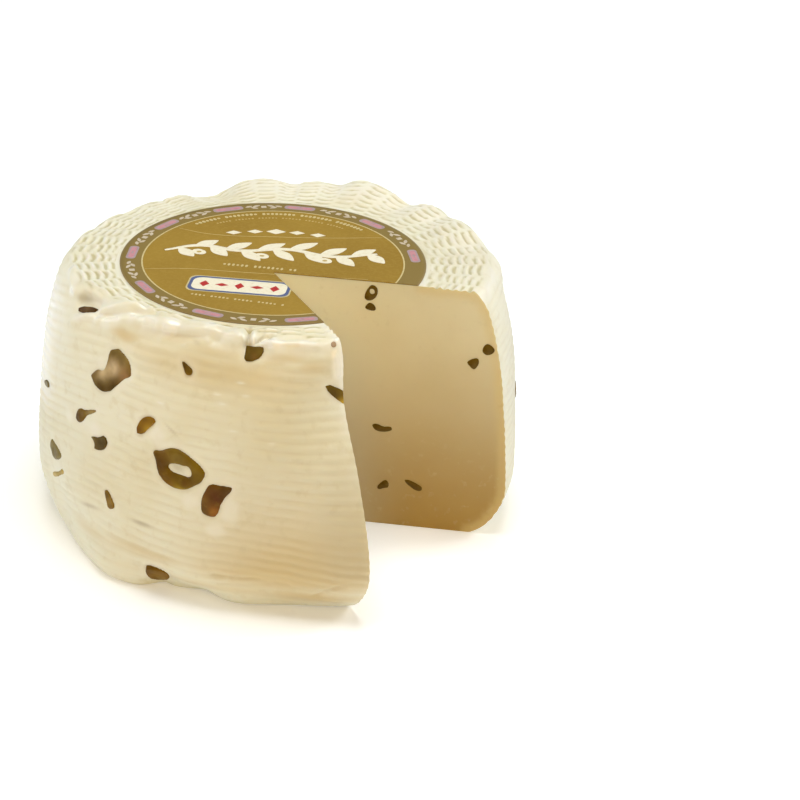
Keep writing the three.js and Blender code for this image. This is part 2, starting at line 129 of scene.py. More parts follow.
def bells(rows, azimuth):
    return sum(size * around(azimuth, at, width) for at, width, size in rows)


def swellsAt(azimuth, height):
    return sum(
        size * around(azimuth, at, width) * bell(height - level, tall)
        for at, width, level, tall, size in wheel["sideSwells"]
    )


def repeatedDips(azimuth):
    dips = wheel["shallowDips"]
    turn = (azimuth - dips["from"]) % 360.0
    fromDip = turn - dips["pitch"] * np.round(turn / dips["pitch"])
    return np.where(turn <= dips["to"] - dips["from"], dips["size"] * bell(fromDip, dips["width"]), 0.0)


def sidePlace(azimuth, row):
    crestRadius = wheel["crestRadius"] + bells(wheel["slopedShoulder"], azimuth)
    crestHeight = wheel["height"] + waves(wheel["rimWaves"], azimuth)
    crestHeight = crestHeight + bells(wheel["rimLumps"], azimuth) + repeatedDips(azimuth)
    widest = wheel["radius"] + waves(wheel["outOfRound"], azimuth)
    foot = wheel["footRadius"] + waves(wheel["footWaves"], azimuth)
    inwards = np.clip(np.cos(row * math.pi / 2), 0.0, 1.0)
    upwards = np.abs(np.sin(row * math.pi / 2))
    below = row < 0
    power = np.where(below, 2 / wheel["footRoundness"], 2 / wheel["sideRoundness"])
    height = np.where(
        below, wheel["widestHeight"] * (1 - upwards ** power),
        wheel["widestHeight"] + (crestHeight - wheel["widestHeight"]) * upwards ** power,
    )
    inner = np.where(below, foot, crestRadius)
    radius = inner + (widest - inner) * inwards ** power + swellsAt(azimuth, height)
    turn = np.radians(azimuth)
    return radius * np.cos(turn), radius * np.sin(turn), height


def shellPlace(azimuth, row):  # x, y, z on the shell, where 1 to 2 leads in to the label's seat
    x, y, z = sidePlace(azimuth, np.minimum(row, 1.0))
    turn = np.radians(azimuth)
    along = label["x"] * np.cos(turn) + label["y"] * np.sin(turn)
    seatRadius = label["radius"] + label["seatMargin"]
    reach = along + np.sqrt(along ** 2 - label["x"] ** 2 - label["y"] ** 2 + seatRadius ** 2)
    inward = np.clip(row - 1.0, 0.0, 1.0)
    x = x + (reach * np.cos(turn) - x) * inward
    y = y + (reach * np.sin(turn) - y) * inward
    z = z + (wheel["height"] - label["seatDrop"] - z) * smooth(inward, 0.0, 1.0)
    return x, y, z


def shellFromCut(direction, row):  # the shell point in a direction from the cut's corner, and its azimuth
    azimuth = direction.copy()
    for _ in range(7):
        x, y, _z = shellPlace(azimuth, row)
        seen = np.degrees(np.arctan2(y - cut["y"], x - cut["x"]))
        azimuth = azimuth + wrapped(direction - seen)
    return np.stack(shellPlace(azimuth, row), axis=1), azimuth


# node helpers

def newMaterial(name):
    material = bpy.data.materials.new(name)
    material.use_nodes = True
    tree = material.node_tree
    return material, tree, tree.nodes["Principled BSDF"]


def addNode(tree, kind, **settings):
    node = tree.nodes.new(kind)
    for key, value in settings.items():
        setattr(node, key, value)
    return node


def put(tree, socket, value):
    if isinstance(value, bpy.types.NodeSocket):
        tree.links.new(value, socket)
    else:
        socket.default_value = value


def feed(tree, node, **values):  # inputs by name, with _ for a space
    for key, value in values.items():
        put(tree, node.inputs[key.replace("_", " ")], value)
    return node


def mixColour(tree, factor, first, second):
    node = addNode(tree, "ShaderNodeMix", data_type="RGBA")
    for index, value in ((0, factor), (6, first), (7, second)):
        put(tree, node.inputs[index], value)
    return node.outputs[2]


def stretch(tree, value, low, high, toLow=0.0, toHigh=1.0):
    node = addNode(tree, "ShaderNodeMapRange", interpolation_type="SMOOTHSTEP")
    feed(tree, node, Value=value, From_Min=low, From_Max=high, To_Min=toLow, To_Max=toHigh)
    return node.outputs["Result"]


def share(tree, mask, amount):  # a mask from 0 to 1 turned down to an amount
    return stretch(tree, mask, 0.0, 1.0, 0.0, amount)


def attribute(tree, name, output="Fac"):
    return addNode(tree, "ShaderNodeAttribute", attribute_name=name).outputs[output]


def linear(value):
    value = value / 255
    return ((value + 0.055) / 1.055) ** 2.4 if value > 0.04 else value / 12.92


def rgb(red, green, blue):  # 0 to 255 as the eye reads it, to the linear values of a shader
    return (linear(red), linear(green), linear(blue), 1.0)


def makeGroup(name, inputs, output, kind):  # a noise in a group, whose inputs and output are still free
    group = bpy.data.node_groups.new(name, "ShaderNodeTree")
    for title, default in inputs:
        socket = group.interface.new_socket(title, in_out="INPUT", socket_type="NodeSocketFloat")
        socket.default_value = default
    group.interface.new_socket(output, in_out="OUTPUT", socket_type=kind)
    entry = group.nodes.new("NodeGroupInput").outputs
    cloud = addNode(group, "ShaderNodeTexNoise")
    place = group.nodes.new("ShaderNodeTexCoord").outputs["Object"]
    feed(group, cloud, Vector=place, Scale=entry["Scale"], Detail=entry["Detail"])
    return group, entry, cloud.outputs["Fac"], group.nodes.new("NodeGroupOutput").inputs[output]


def makeMottle():  # soft blotches over a surface
    inputs = [("Scale", 40.0), ("Detail", 3.0), ("Low", 0.4), ("High", 0.6)]
    group, entry, cloud, leave = makeGroup("softMottle", inputs, "Mask", "NodeSocketFloat")
    put(group, leave, stretch(group, cloud, entry["Low"], entry["High"]))
    return group


def makeGrain():  # fine unevenness, as a normal
    inputs = [("Scale", 900.0), ("Detail", 4.0), ("Strength", 0.3), ("Depth", 0.0002)]
    group, entry, cloud, leave = makeGroup("fineGrain", inputs, "Normal", "NodeSocketVector")
    bump = addNode(group, "ShaderNodeBump")
    feed(group, bump, Height=cloud, Strength=entry["Strength"], Distance=entry["Depth"])
    put(group, leave, bump.outputs["Normal"])
    return group


softMottle = makeMottle()
fineGrain = makeGrain()


def mottle(tree, scale, detail, low, high):
    node = addNode(tree, "ShaderNodeGroup", node_tree=softMottle)
    return feed(tree, node, Scale=scale, Detail=detail, Low=low, High=high).outputs["Mask"]


def grain(tree, shader, scale, strength, depth):
    node = addNode(tree, "ShaderNodeGroup", node_tree=fineGrain)
    feed(tree, node, Scale=scale, Strength=strength, Depth=depth)
    put(tree, shader.inputs["Normal"], node.outputs["Normal"])


def awayFrom(tree, centre):  # level metres from a centre, the same at every height
    place = addNode(tree, "ShaderNodeMapping", vector_type="POINT")
    feed(tree, place, Vector=addNode(tree, "ShaderNodeTexCoord").outputs["Object"])
    feed(tree, place, Location=-centre, Scale=(1, 1, 0))
    distance = addNode(tree, "ShaderNodeVectorMath", operation="LENGTH")
    put(tree, distance.inputs[0], place.outputs["Vector"])
    return distance.outputs["Value"]


def layOver(tree, colour, mask, amount, tint):  # lays a colour over another where a mask says so
    return mixColour(tree, share(tree, mask, amount), colour, rgb(*tint))


def objectFrom(bm, name):
    mesh = bpy.data.meshes.new(name)
    bm.to_mesh(mesh)
    bm.free()
    made = bpy.data.objects.new(name, mesh)
    scene.collection.objects.link(made)
    return made


def pieceFrom(bm, name, materials, smoothShade=True):
    piece = objectFrom(bm, name)
    for material in materials:
        piece.data.materials.append(material)
    if smoothShade:
        piece.data.polygons.foreach_set("use_smooth", [True] * len(piece.data.polygons))
    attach(piece, "root")
    return piece


# olives: how far over and up on a piece each touch of colour lies, from -1 to 1, its reach and its colour.
# The touches are partly each piece's own colour and partly painted shade and highlight on its sides.

oliveLook = {
    "voxel": 0.32 * mm, "roundings": 40,
    "smallSize": 9.0 * mm, "smallVoxel": 0.22 * mm, "smallRoundings": 5, "smallLumps": 0.4,
    "lumps": [(3.4, 0.22, 2.0), (1.4, 0.09, 5.0)],  # size, depth and seed, in millimetres
    "fuller": 0.25,  # makes up for what the rounding takes off
    "proud": 0.1 * mm, "pastCut": 0.7 * mm, "flush": 0.07 * mm,  # how a piece stands to the rind and the cut
    "flesh": (100, 76, 10), "skin": (60, 42, 2), "pale": (158, 130, 40), "veined": 0.3,
    "blotch": (190.0, 2.0, 0.4, 0.72), "fleck": (420.0, 3.0, 0.52, 0.78),
    "grain": (1100.0, 0.3, 0.00012), "roughness": (0.4, 0.58),
    "surface": {
        "Specular IOR Level": 0.12, "Coat Weight": 0.04, "Coat Roughness": 0.3,
        "Subsurface Weight": 0.1, "Subsurface Radius": (1.0, 0.5, 0.1), "Subsurface Scale": 0.001,
    },
    "tones": {
        "hook": ((112, 88, 28), [
            (0.13, 0.9, 0.4, (118, 96, 42)), (0.54, 0.5, 0.4, (132, 110, 58)),
            (0.7, 0.0, 0.4, (150, 114, 72)), (0.3, -0.15, 0.26, (98, 74, 14)),
            (0.1, 0.22, 0.3, (206, 182, 144)), (-0.36, -0.16, 0.34, (204, 180, 136)),
            (-0.85, -0.2, 0.26, (120, 94, 50)), (-0.28, -0.85, 0.46, (84, 62, 0)),
            (0.3, -0.6, 0.34, (80, 58, 0)),
        ]),
        "ring": ((108, 80, 4), [
            (-0.65, 0.75, 0.3, (118, 88, 34)), (-0.1, 0.85, 0.3, (112, 88, 22)),
            (-0.05, 0.45, 0.3, (136, 112, 42)), (-0.7, 0.1, 0.4, (90, 60, 0)),
            (-0.36, -0.65, 0.3, (120, 84, 0)), (0.18, -0.9, 0.3, (152, 128, 24)),
            (0.3, -0.5, 0.2, (104, 72, 4)), (0.53, -0.05, 0.22, (62, 38, 4)),
            (0.85, -0.2, 0.3, (112, 86, 2)), (0.63, 0.3, 0.3, (122, 96, 14)),
        ]),
        "tail": ((98, 62, 10), [
            (0.0, 0.85, 0.3, (104, 70, 18)), (0.07, 0.26, 0.4, (90, 50, 8)),
            (-0.85, -0.05, 0.35, (120, 86, 32)), (-0.76, -0.8, 0.35, (108, 84, 38)),
            (-0.1, -0.6, 0.35, (148, 96, 32)), (0.7, 0.7, 0.35, (90, 62, 20)),
        ]),
        "arc": ((132, 96, 12), [
            (-0.8, -0.5, 0.5, (112, 74, 2)), (-0.2, 0.8, 0.4, (122, 86, 12)),
            (0.4, -0.2, 0.45, (172, 138, 42)),
        ]),
        "crescent_upper": ((116, 86, 14), [(-0.7, -0.4, 0.5, (90, 64, 2)), (0.6, 0.6, 0.5, (152, 130, 76))]),
        "crescent_lower": ((88, 68, 12), [(0.5, 0.2, 0.5, (78, 60, 4)), (-0.8, -0.2, 0.4, (128, 108, 66))]),
        "sliver_upper": ((110, 82, 8), [(0.6, -0.7, 0.5, (148, 112, 26)), (-0.4, 0.5, 0.5, (88, 62, 6))]),
        "sliver_lower": ((146, 116, 52), [(-0.4, 0.6, 0.5, (106, 80, 20)), (0.4, -0.6, 0.5, (124, 96, 38))]),
        "notch": ((92, 70, 4), [
            (0.1, 0.1, 0.4, (114, 84, 30)), (-0.5, -0.6, 0.5, (80, 58, 0)), (0.6, 0.6, 0.4, (112, 88, 20)),
        ]),
        "edge": ((102, 78, 4), [(0.85, -0.8, 0.5, (206, 168, 52)), (-0.4, 0.3, 0.6, (86, 66, 4))]),
        "edge_speck": ((176, 150, 122), []),
        # the shoulder piece is darkened as painted shadow, for the hollow it lies in
        "shoulder": ((74, 46, 0), [(0.0, 0.9, 0.4, (98, 72, 24))]),
        "foot": ((124, 90, 16), [(-0.6, 0.3, 0.5, (98, 68, 2)), (0.3, -0.7, 0.5, (142, 114, 54))]),
        "side_flat": ((190, 166, 92), []),
        "side_upright": ((134, 120, 72), [(0.0, 0.0, 0.5, (112, 98, 52))]),
        "side_speck": ((126, 114, 78), []),
    },
}


def oliveMaterial():
    look = oliveLook
    material, tree, shader = newMaterial("oliveFlesh")
    tone = attribute(tree, "fleshTone", "Color")
    blotch = mottle(tree, *look["blotch"])
    colour = layOver(tree, tone, blotch, look["veined"], look["skin"])
    colour = layOver(tree, colour, mottle(tree, *look["fleck"]), 0.5 * look["veined"], look["pale"])
    roughness = stretch(tree, blotch, 0, 1, *look["roughness"])
    feed(tree, shader, Base_Color=colour, Roughness=roughness, **look["surface"])
    grain(tree, shader, *look["grain"])
    return material


def faceOf(name):  # a point on the cut face that an olive lies in and the face's normal, or None
    for side in ("far", "near"):
        if name.startswith("olive_" + side):
            return toScene(cut["x"], cut["y"], 0), cutNormal(side)
    return None


def remeshed(source, voxel):  # a copy of a CAD solid in small even faces
    bm = bmesh.new()
    bm.from_mesh(source.data)
    bmesh.ops.remove_doubles(bm, verts=bm.verts, dist=1e-6)
    core = objectFrom(bm, "oliveCore")
    remesh = core.modifiers.new("even", "REMESH")
    remesh.mode = "VOXEL"
    remesh.voxel_size = voxel
    even = bpy.data.meshes.new_from_object(core.evaluated_get(bpy.context.evaluated_depsgraph_get()))
    bpy.data.objects.remove(core)
    return even


def paintOlive(bm, name, middle, half, over):
    places = np.array([v.co for v in bm.verts])
    across = (places - middle) @ np.array(over) / half
    up = (places[:, 2] - middle.z) / half
    wide = np.abs(across).max()
    tall = np.abs(up).max()
    spread = max(wide, tall)
    base, touches = oliveLook["tones"].get(name.replace("olive_", ""), (oliveLook["flesh"], []))
    colour = np.tile(np.array(rgb(*base)), (len(places), 1))
    for atAcross, atUp, reach, tint in touches:
        gap = np.hypot(across - atAcross * wide, up - atUp * tall) / spread
        nearness = bell(gap, reach)[:, None]
        colour = colour * (1 - nearness) + np.array(rgb(*tint)) * nearness
    # the piece's own colour with painted shade and highlight laid on
    layer = bm.verts.layers.float_color.new("fleshTone")
    for vertex, tone in zip(bm.verts, colour):
        vertex[layer] = tone


def makeOlive(name, material):
    look = oliveLook
    low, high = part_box(name)
    middle = (low + high) / 2
    size = max(high - low)
    small = size < look["smallSize"]
    bm = bmesh.new()
    bm.from_mesh(remeshed(nodes[name], look["smallVoxel"] if small else look["voxel"]))
    for _ in range(look["smallRoundings"] if small else look["roundings"]):
        bmesh.ops.smooth_vert(
            bm, verts=bm.verts, factor=0.5, use_axis_x=True, use_axis_y=True, use_axis_z=True)
    bm.normal_update()
    places = [v.co / mm for v in bm.verts]
    lumps = sum(depth * noiseAt(places, across, seed) for across, depth, seed in look["lumps"])
    lumps = lumps * look["smallLumps"] if small else lumps + look["fuller"]
    for vertex, lump in zip(bm.verts, lumps):
        vertex.co += vertex.normal * (lump * mm)
    face = faceOf(name)
    if face:
        origin, normal = face
        over = Vector((-normal.y, normal.x, 0))
        bmesh.ops.translate(bm, verts=bm.verts, vec=normal * look["pastCut"])
        trimmed = bmesh.ops.bisect_plane(
            bm, geom=bm.verts[:] + bm.edges[:] + bm.faces[:], dist=hair,
            plane_co=origin + normal * look["flush"], plane_no=normal, clear_outer=True)
        rim = [e for e in trimmed["geom_cut"] if isinstance(e, bmesh.types.BMEdge)]
        bmesh.ops.triangle_fill(bm, edges=rim, use_beauty=True, normal=normal)
    else:
        axis = toScene(0, 0, 0)
        out = Vector((middle.x - axis.x, middle.y - axis.y, 0)).normalized()
        over = Vector((-out.y, out.x, 0))
        bmesh.ops.translate(bm, verts=bm.verts, vec=out * look["proud"])
    paintOlive(bm, name, middle, size / 2, over)
    piece = pieceFrom(bm, name.replace("olive_", "olivePiece_"), [material])
    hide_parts(name)
    return piece


fleshMaterial = oliveMaterial()
olives = {}
for oliveName in sorted(name for name in nodes if name.startswith("olive_")):
    olives[oliveName] = makeOlive(oliveName, fleshMaterial)
print("olives made:", len(olives))


# the cheese: its shell is a grid bent round from one cut edge to the other, with the rind's relief on it

cheeseLook = {
    "rowPitch": 0.58, "frontPitch": 0.85, "backPitch": 1.4, "cutPitch": 2.2,
    "frontFrom": -176.0,  # azimuth from which the columns stand closer, up to the cut
    "reliefRows": ((-1.0, -0.85), (1.7, 2.0)),  # the relief rises and fades in these rows
    "ridgePitch": 3.15, "ridgeDepth": 0.17, "ridgeWander": 0.7, "ridgeWaver": 0.25, "ridgeWane": 0.75,
    "ridgeRows": ((-0.75, -0.5), (0.74, 0.86)),
    "stripWidth": 7.6, "stripWander": 0.15, "stripJog": 0.12, "jogScatter": 12.9898,
    "levelFrom": 232.0, "slopeRun": 134.8, "slopeDrop": 12.0,  # the ridges dip behind the left side
    "dropFrom": 262.0, "dropSlope": 0.1,  # and towards the near cut edge
    "weavePitch": 2.9, "weaveColumns": 50, "weaveDepth": 0.45, "weaveArch": -0.1, "weaveWander": 0.4,
    "weaveEnds": (0.34, 0.48), "weaveRows": (0.84, 1.02), "worn": 0.45, "wornTop": (-0.35, 0.15),
    "calmInner": 0.5, "calmOuter": 3.5, "seatDepth": 0.3, "seatReach": 0.7,  # beside an olive piece
    "shoulder": {"row": 0.86, "tall": 0.09, "from": -156.0, "run": 10.0},  # where the skin is crumpled
    "creaseBreaks": (6.0, 13.0, -0.25, 0.2), "wetReach": 1.7,
    # how wet a crease looks sets its gloss and also a painted highlight along it
    "creases": [  # azimuth and row of each point, width, rise, and how wet it looks
        ([(-154, 0.64), (-146.2, 0.755), (-142.2, 0.82), (-139.5, 0.895), (-135.2, 1.0), (-130, 1.03)],
         1.3, 0.9, 0.6),
        ([(-144.5, 0.765), (-138.5, 0.80), (-135, 0.87), (-130.8, 0.925), (-128, 0.96)], 1.4, -1.3, 0.0),
        ([(-143.5, 0.735), (-139.2, 0.755), (-136.5, 0.80), (-130.5, 0.825), (-127.2, 0.84), (-121.5, 0.835),
          (-118.2, 0.855), (-112.2, 0.875), (-106.5, 0.90), (-100, 0.90), (-97, 0.88)], 2.0, 1.1, 0.8),
        ([(-137.4, 0.855), (-133, 0.875), (-129, 0.87)], 1.8, 0.6, 0.9),
        ([(-122.5, 0.90), (-118, 0.93), (-112, 0.95), (-106, 0.96)], 1.5, 0.5, 0.8),
        ([(-133, 0.73), (-125, 0.735)], 3.5, -0.6, 0.0),
        ([(-118, 0.80), (-110, 0.83), (-104, 0.84)], 1.1, -0.6, 0.0),
        ([(-113.5, 0.765), (-107.2, 0.80)], 1.0, 0.4, 0.3),
        ([(-153.5, 0.80), (-147.5, 0.84)], 2.6, -2.0, 0.0),
        ([(-167.5, 0.93), (-164.5, 0.86), (-160, 0.82)], 1.8, 0.7, 1.0),
        ([(-95.8, 1.05), (-95.8, 0.945), (-95.5, 0.88), (-95.3, 0.82)], 1.1, -2.2, 0.0),
        ([(-94.2, 0.93), (-93.5, 0.86)], 0.8, 0.7, 0.9),
        ([(-93.4, 0.85), (-91.2, 0.90), (-89.2, 0.95)], 0.7, -1.3, 0.0),
        ([(-90.5, 0.875), (-88.5, 0.88)], 1.4, 0.8, 1.0),
        ([(-85.5, 0.94), (-81.2, 0.96), (-76.5, 0.96)], 1.1, -0.9, 0.0),
        ([(-88, 0.87), (-81.5, 0.875), (-76, 0.88)], 1.4, 0.6, 0.7),
        ([(-81, 0.80), (-77.8, 0.81)], 2.5, -0.4, 0.0),
        ([(-70.5, 0.93), (-71, 0.78), (-70.8, 0.66)], 1.2, 0.5, 0.9),
        ([(-78.0, -0.41), (-75.5, -0.26), (-73.0, -0.16)], 0.7, -0.9, 0.0),
        ([(-101, -0.17), (-96, -0.21), (-92, -0.17), (-84, -0.22)], 1.0, -0.6, 0.0),
        ([(-98, -0.27), (-93, -0.30), (-88, -0.26)], 1.0, -0.4, 0.0),
    ],
    "veils": [  # smooth pale skin over a sunk piece: azimuth, height, half width and half height
        (-116.8, 58.6, 4.8, 4.2), (-113.4, 55.0, 4.4, 3.6), (-136.9, 51.4, 5.0, 4.2),
        (-137.4, 74.0, 3.8, 3.4), (-97.4, 38.5, 4.2, 6.0), (-106.3, 39.6, 5.0, 3.4),
        (-100.5, 31.5, 4.2, 3.6), (-148.0, 50.5, 4.0, 2.5),
    ],
    "veilStrength": 0.6, "veilEdge": (0.3, 1.35), "veilRise": 0.2, "veilCalm": 0.9,
    "ragged": (3.5, 17.0, 0.25),  # size, seed and depth
    "shades": [  # azimuth, height, half length, half height, slope and strength
        # sunk pieces that show through, and above the shoulder olive a painted shade for its hollow
        (-138.0, 22.8, 6.5, 1.0, 0.2, 0.6), (-119.6, 26.2, 5.5, 0.9, 0.02, 0.7),
        (-110.3, 49.4, 3.4, 1.6, 0.0, 0.6), (-153.5, 89.4, 5.5, 1.8, 0.1, 0.75),
        (-110.5, 88.5, 2.2, 0.7, -0.3, 0.4), (-113.0, 61.5, 3.5, 0.7, -0.6, 0.5),
        (-95.6, 92.3, 0.8, 2.5, 0.0, 0.6), (-92.3, 91.8, 2.2, 0.5, 0.6, 0.6),
        # wide and soft painted shade, darker at the foot, on the front, low by the near cut edge and on the
        # right side
        (-80.0, 6.0, 22.0, 3.0, 0.0, 0.35), (-72.0, 30.0, 17.0, 32.0, 0.0, 0.4),
        (-84.0, 88.0, 14.0, 3.0, 0.0, 0.16), (-86.0, 50.0, 30.0, 34.0, 0.0, 0.2),
        (6.0, 56.0, 30.0, 40.0, 0.0, 0.5),
    ],
    "tanPatches": [  # azimuth, row, width in degrees, tall in rows, strength
        # high on the front
        (-133, 0.72, 6.0, 0.04, 0.85), (-123, 0.68, 16.0, 0.07, 0.45), (-118, 0.79, 14.0, 0.04, 0.62),
        (-104, 0.75, 12.0, 0.06, 0.58), (-103, 0.66, 28.0, 0.11, 0.66), (-86, 0.765, 9.0, 0.05, 0.65),
        (-82, 0.865, 7.0, 0.025, 0.7), (-77.5, 0.72, 6.0, 0.06, 0.6),
        # low on the front, where the patches at the foot and by the near cut edge are painted shade
        (-138, -0.2, 12.0, 0.14, 0.45), (-118, -0.12, 14.0, 0.14, 0.6), (-100, -0.42, 26.0, 0.1, 0.5),
        (-95, 0.1, 20.0, 0.12, 0.3), (-84, -0.08, 24.0, 0.3, 0.95), (-78, -0.45, 14.0, 0.14, 0.8),
        (-72, 0.08, 9.0, 0.3, 0.4),
        # round the upper rim
        (5, 1.25, 4.0, 0.3, 0.3), (24, 1.35, 4.5, 0.3, 0.3), (43, 1.4, 4.5, 0.3, 0.2),
        (63, 1.4, 4.0, 0.3, 0.25), (82, 1.4, 4.5, 0.3, 0.15), (100, 1.4, 5.0, 0.3, 0.2),
        (122, 1.4, 3.0, 0.4, 0.25), (146, 1.3, 4.0, 0.3, 0.3),
    ],
    "topClouds": (7.0, 21.0, 0.02, 0.4), "topStrength": 0.26, "topRows": (0.95, 1.05),  # tan, on the top
    "film": {"azimuth": -172.0, "width": 16.0, "rise": (36.0, 52.0), "fall": (80.0, 92.0)},  # wet skin
    # painted highlight: the upper rim paler towards the back
    "paleRim": {"azimuth": 55.0, "width": 70.0, "row": 1.25, "tall": 0.45, "strength": 0.85},
    # a painted highlight along the rind at the near cut edge, stronger higher up
    "edgeStrip": {"width": 2.0, "low": 0.15, "more": 0.75, "rise": (58.0, 72.0)},  # paler, at the near cut
    "halo": 0.3, "haloFrom": 0.8, "haloReach": 4.0,  # paler skin round each olive piece
    # painted highlight: the dash tops, the front shoulder and the wet film on the left are painted paler,
    # while the film's gloss is real
    "crestPale": 0.95, "shoulderPale": 0.45, "filmPale": 0.95, "filmGloss": 0.7,
    # painted shade in the grooves of the side ridges and of the top dashes
    "ridgeTint": 0.5, "weaveTint": 1.3,
    # small painted glints: pale short spots on the front
    "fleck": {"wide": 1.7, "tall": 0.45, "strength": 0.8},
    "flecks": [
        (-96.1, 80.2), (-94.6, 76.4), (-102.0, 75.7), (-100.5, 73.1), (-117.3, 69.0), (-97.3, 65.2),
        (-88, 62),
    ],
    "patchy": (15.0, 6.0, -0.5, 0.3),
    "unevenness": [(26.0, 1.0, 0.5), (9.0, 4.0, 0.16), (3.1, 8.0, 0.05)],  # size, seed and height
    "crumple": [(2.6, 11.0, 0.22), (6.5, 15.0, 0.45)],  # the same, along the front shoulder
    # the tan colour also paints shade at the foot and by the near cut edge
    "rindLight": (231, 228, 207), "rindDark": (225, 218, 189), "tan": (208, 186, 136),
    # the two groove colours paint shade in the grooves, and the first also colours the specks
    "groove": (204, 190, 150), "weaveGroove": (198, 190, 149), "veil": (238, 235, 222),
    # the veil colour also lays the painted highlights, and the wet colour is a painted sheen over the glossy
    # skin
    "wet": (249, 248, 240), "buried": (176, 164, 136),
    "rindPatch": (22.0, 4.0, 0.42, 0.66), "rindSpeck": (240.0, 4.0, 0.5, 0.75),
    "rindLayers": [  # what is laid over the rind's own colour: its mask, how much of it, and its colour
        # the groove and weave layers are painted shade in the grooves
        ("tanPatch", 0.9, "tan"), ("grooveTint", 0.55, "groove"), ("weaveTint", 0.95, "weaveGroove"),
        # the pale and wet layers are pale skin and real gloss with painted highlight and sheen laid on
        ("speck", 0.25, "groove"), ("paleSkin", 0.9, "veil"), ("wetFilm", 0.45, "wet"),
        # sunk pieces that show through and painted shade, in one colour
        ("sunkShade", 0.9, "buried"),
    ],
    "rindRoughness": (0.5, 0.22), "rindCoat": (0.05, 0.7),  # dry and wet
    "rindGrain": (800.0, 0.25, 0.00015),
    "rindSurface": {
        "Coat Roughness": 0.14,
        "Subsurface Weight": 0.2, "Subsurface Radius": (1.0, 0.75, 0.4), "Subsurface Scale": 0.0015,
    },
    # the paste's foot colour is painted shade, darker and browner towards the bottom of the cut faces
    "pasteTop": (226, 216, 180), "pasteMottle": (221, 209, 170), "pasteFoot": (164, 131, 52),
    "pasteRim": (216, 194, 132), "rimShare": 0.5, "rimReach": (0.5, 5.0), "pasteDepth": 0.09,
    # the paler middle is partly the paste's own paler core and partly painted light on the shaded inner
    # corner of the cut
    "pasteCore": (247, 241, 216), "coreReach": 0.062, "coreShare": 0.62,  # paler towards the wheel's middle
    "pasteCloud": (30.0, 3.0, 0.35, 0.7), "pasteSpeck": (380.0, 3.0, 0.55, 0.8), "speckShare": 0.2,
    "pasteGrain": (600.0, 0.2, 0.00012), "pasteDent": 0.14, "dentSize": 9.0,
    "pasteSurface": {
        "Roughness": 0.5,
        "Subsurface Weight": 0.25, "Subsurface Radius": (1.0, 0.7, 0.35), "Subsurface Scale": 0.003,
    },
}


def rowSpacing():  # rows an even step apart along the shell
    fine = np.linspace(-1.0, 2.0, 1201)
    x, y, z = shellPlace(np.full(fine.shape, 180.0), fine)
    run = np.concatenate(([0.0], np.cumsum(np.sqrt(np.diff(x) ** 2 + np.diff(y) ** 2 + np.diff(z) ** 2))))
    count = int(round(run[-1] / cheeseLook["rowPitch"]))
    return np.interp(np.linspace(0, run[-1], count + 1), run, fine)


def columnDirections():  # directions from the cut's corner, closer together where the front is
    look = cheeseLook
    fine = np.linspace(cut["farAzimuth"], cut["nearAzimuth"] + 360.0, 2001)
    pitch = np.where(fine > look["frontFrom"] + 360.0, look["frontPitch"], look["backPitch"])
    points, _azimuth = shellFromCut(fine, np.full(fine.shape, 0.3))
    steps = np.linalg.norm(np.diff(points, axis=0), axis=1) / pitch[1:]
    run = np.concatenate(([0.0], np.cumsum(steps)))
    return np.interp(np.linspace(0, run[-1], int(round(run[-1])) + 1), run, fine)


def treeOf(places):
    tree = kdtree.KDTree(len(places))
    for index, place in enumerate(places):
        tree.insert(place, index)
    tree.balance()
    return tree


def besidePath(points, path):  # the distance from each point to a path of azimuths and rows
    steps = np.linspace(0, len(path) - 1, 12 * len(path))
    azimuth = np.interp(steps, range(len(path)), [p[0] for p in path])
    row = np.interp(steps, range(len(path)), [p[1] for p in path])
    line = np.stack(shellPlace(azimuth, row), axis=1)
    nearest = np.full(len(points), 1e9)
    reach = np.linalg.norm(points - line.mean(axis=0), axis=1) < np.ptp(line, axis=0).max() + 15
    close = points[reach]
    nearest[reach] = np.sqrt(((close[:, None, :] - line[None, :, :]) ** 2).sum(axis=2).min(axis=1))
    return nearest


def creaseFields(points):
    look = cheeseLook
    rise = np.zeros(len(points))
    wet = np.zeros(len(points))
    for path, width, height, gloss in look["creases"]:
        gap = besidePath(points, path)
        rise += height * bell(gap, width)
        wet = np.maximum(wet, gloss * bell(gap, look["wetReach"] * width))
    return rise, wet * atLeast(0.3, cloudAt(points, *look["creaseBreaks"]))


def spotField(points, rows, spotAt):  # the strongest of some spots, each at an azimuth and a height
    field = np.zeros(len(points))
    for azimuth, height, *others in rows:
        turn = math.radians(azimuth)
        across = points[:, 1] * math.cos(turn) - points[:, 0] * math.sin(turn)
        outwards = points[:, 0] * math.cos(turn) + points[:, 1] * math.sin(turn)
        spot = spotAt(across, points[:, 2] - height, *others)
        field = np.maximum(field, np.where(outwards > 0, spot, 0))
    return field


def veilField(points):
    look = cheeseLook
    size, seed, depth = look["ragged"]
    ragged = depth * noiseAt(points, size, seed)

    def veilAt(across, up, wide, tall):
        return 1 - smooth(np.hypot(across / wide, up / tall) + ragged, *look["veilEdge"])

    return spotField(points, look["veils"], veilAt)


def shadeAt(across, up, long, tall, slope, strength):
    return strength * bell(across, long) * bell(up - slope * across, tall)


# a painted glint
def glintAt(across, up):
    fleck = cheeseLook["fleck"]
    return fleck["strength"] * bell(across, fleck["wide"]) * bell(up, fleck["tall"])


# tan patches, of which those at the foot and by the near cut edge are painted shade
def tanAndShadeField(azimuth, row):
    tan = np.zeros(len(azimuth))
    for at, level, wide, tall, strength in cheeseLook["tanPatches"]:
        tan = np.maximum(tan, strength * around(azimuth, at, wide) * bell(row - level, tall))
    return tan


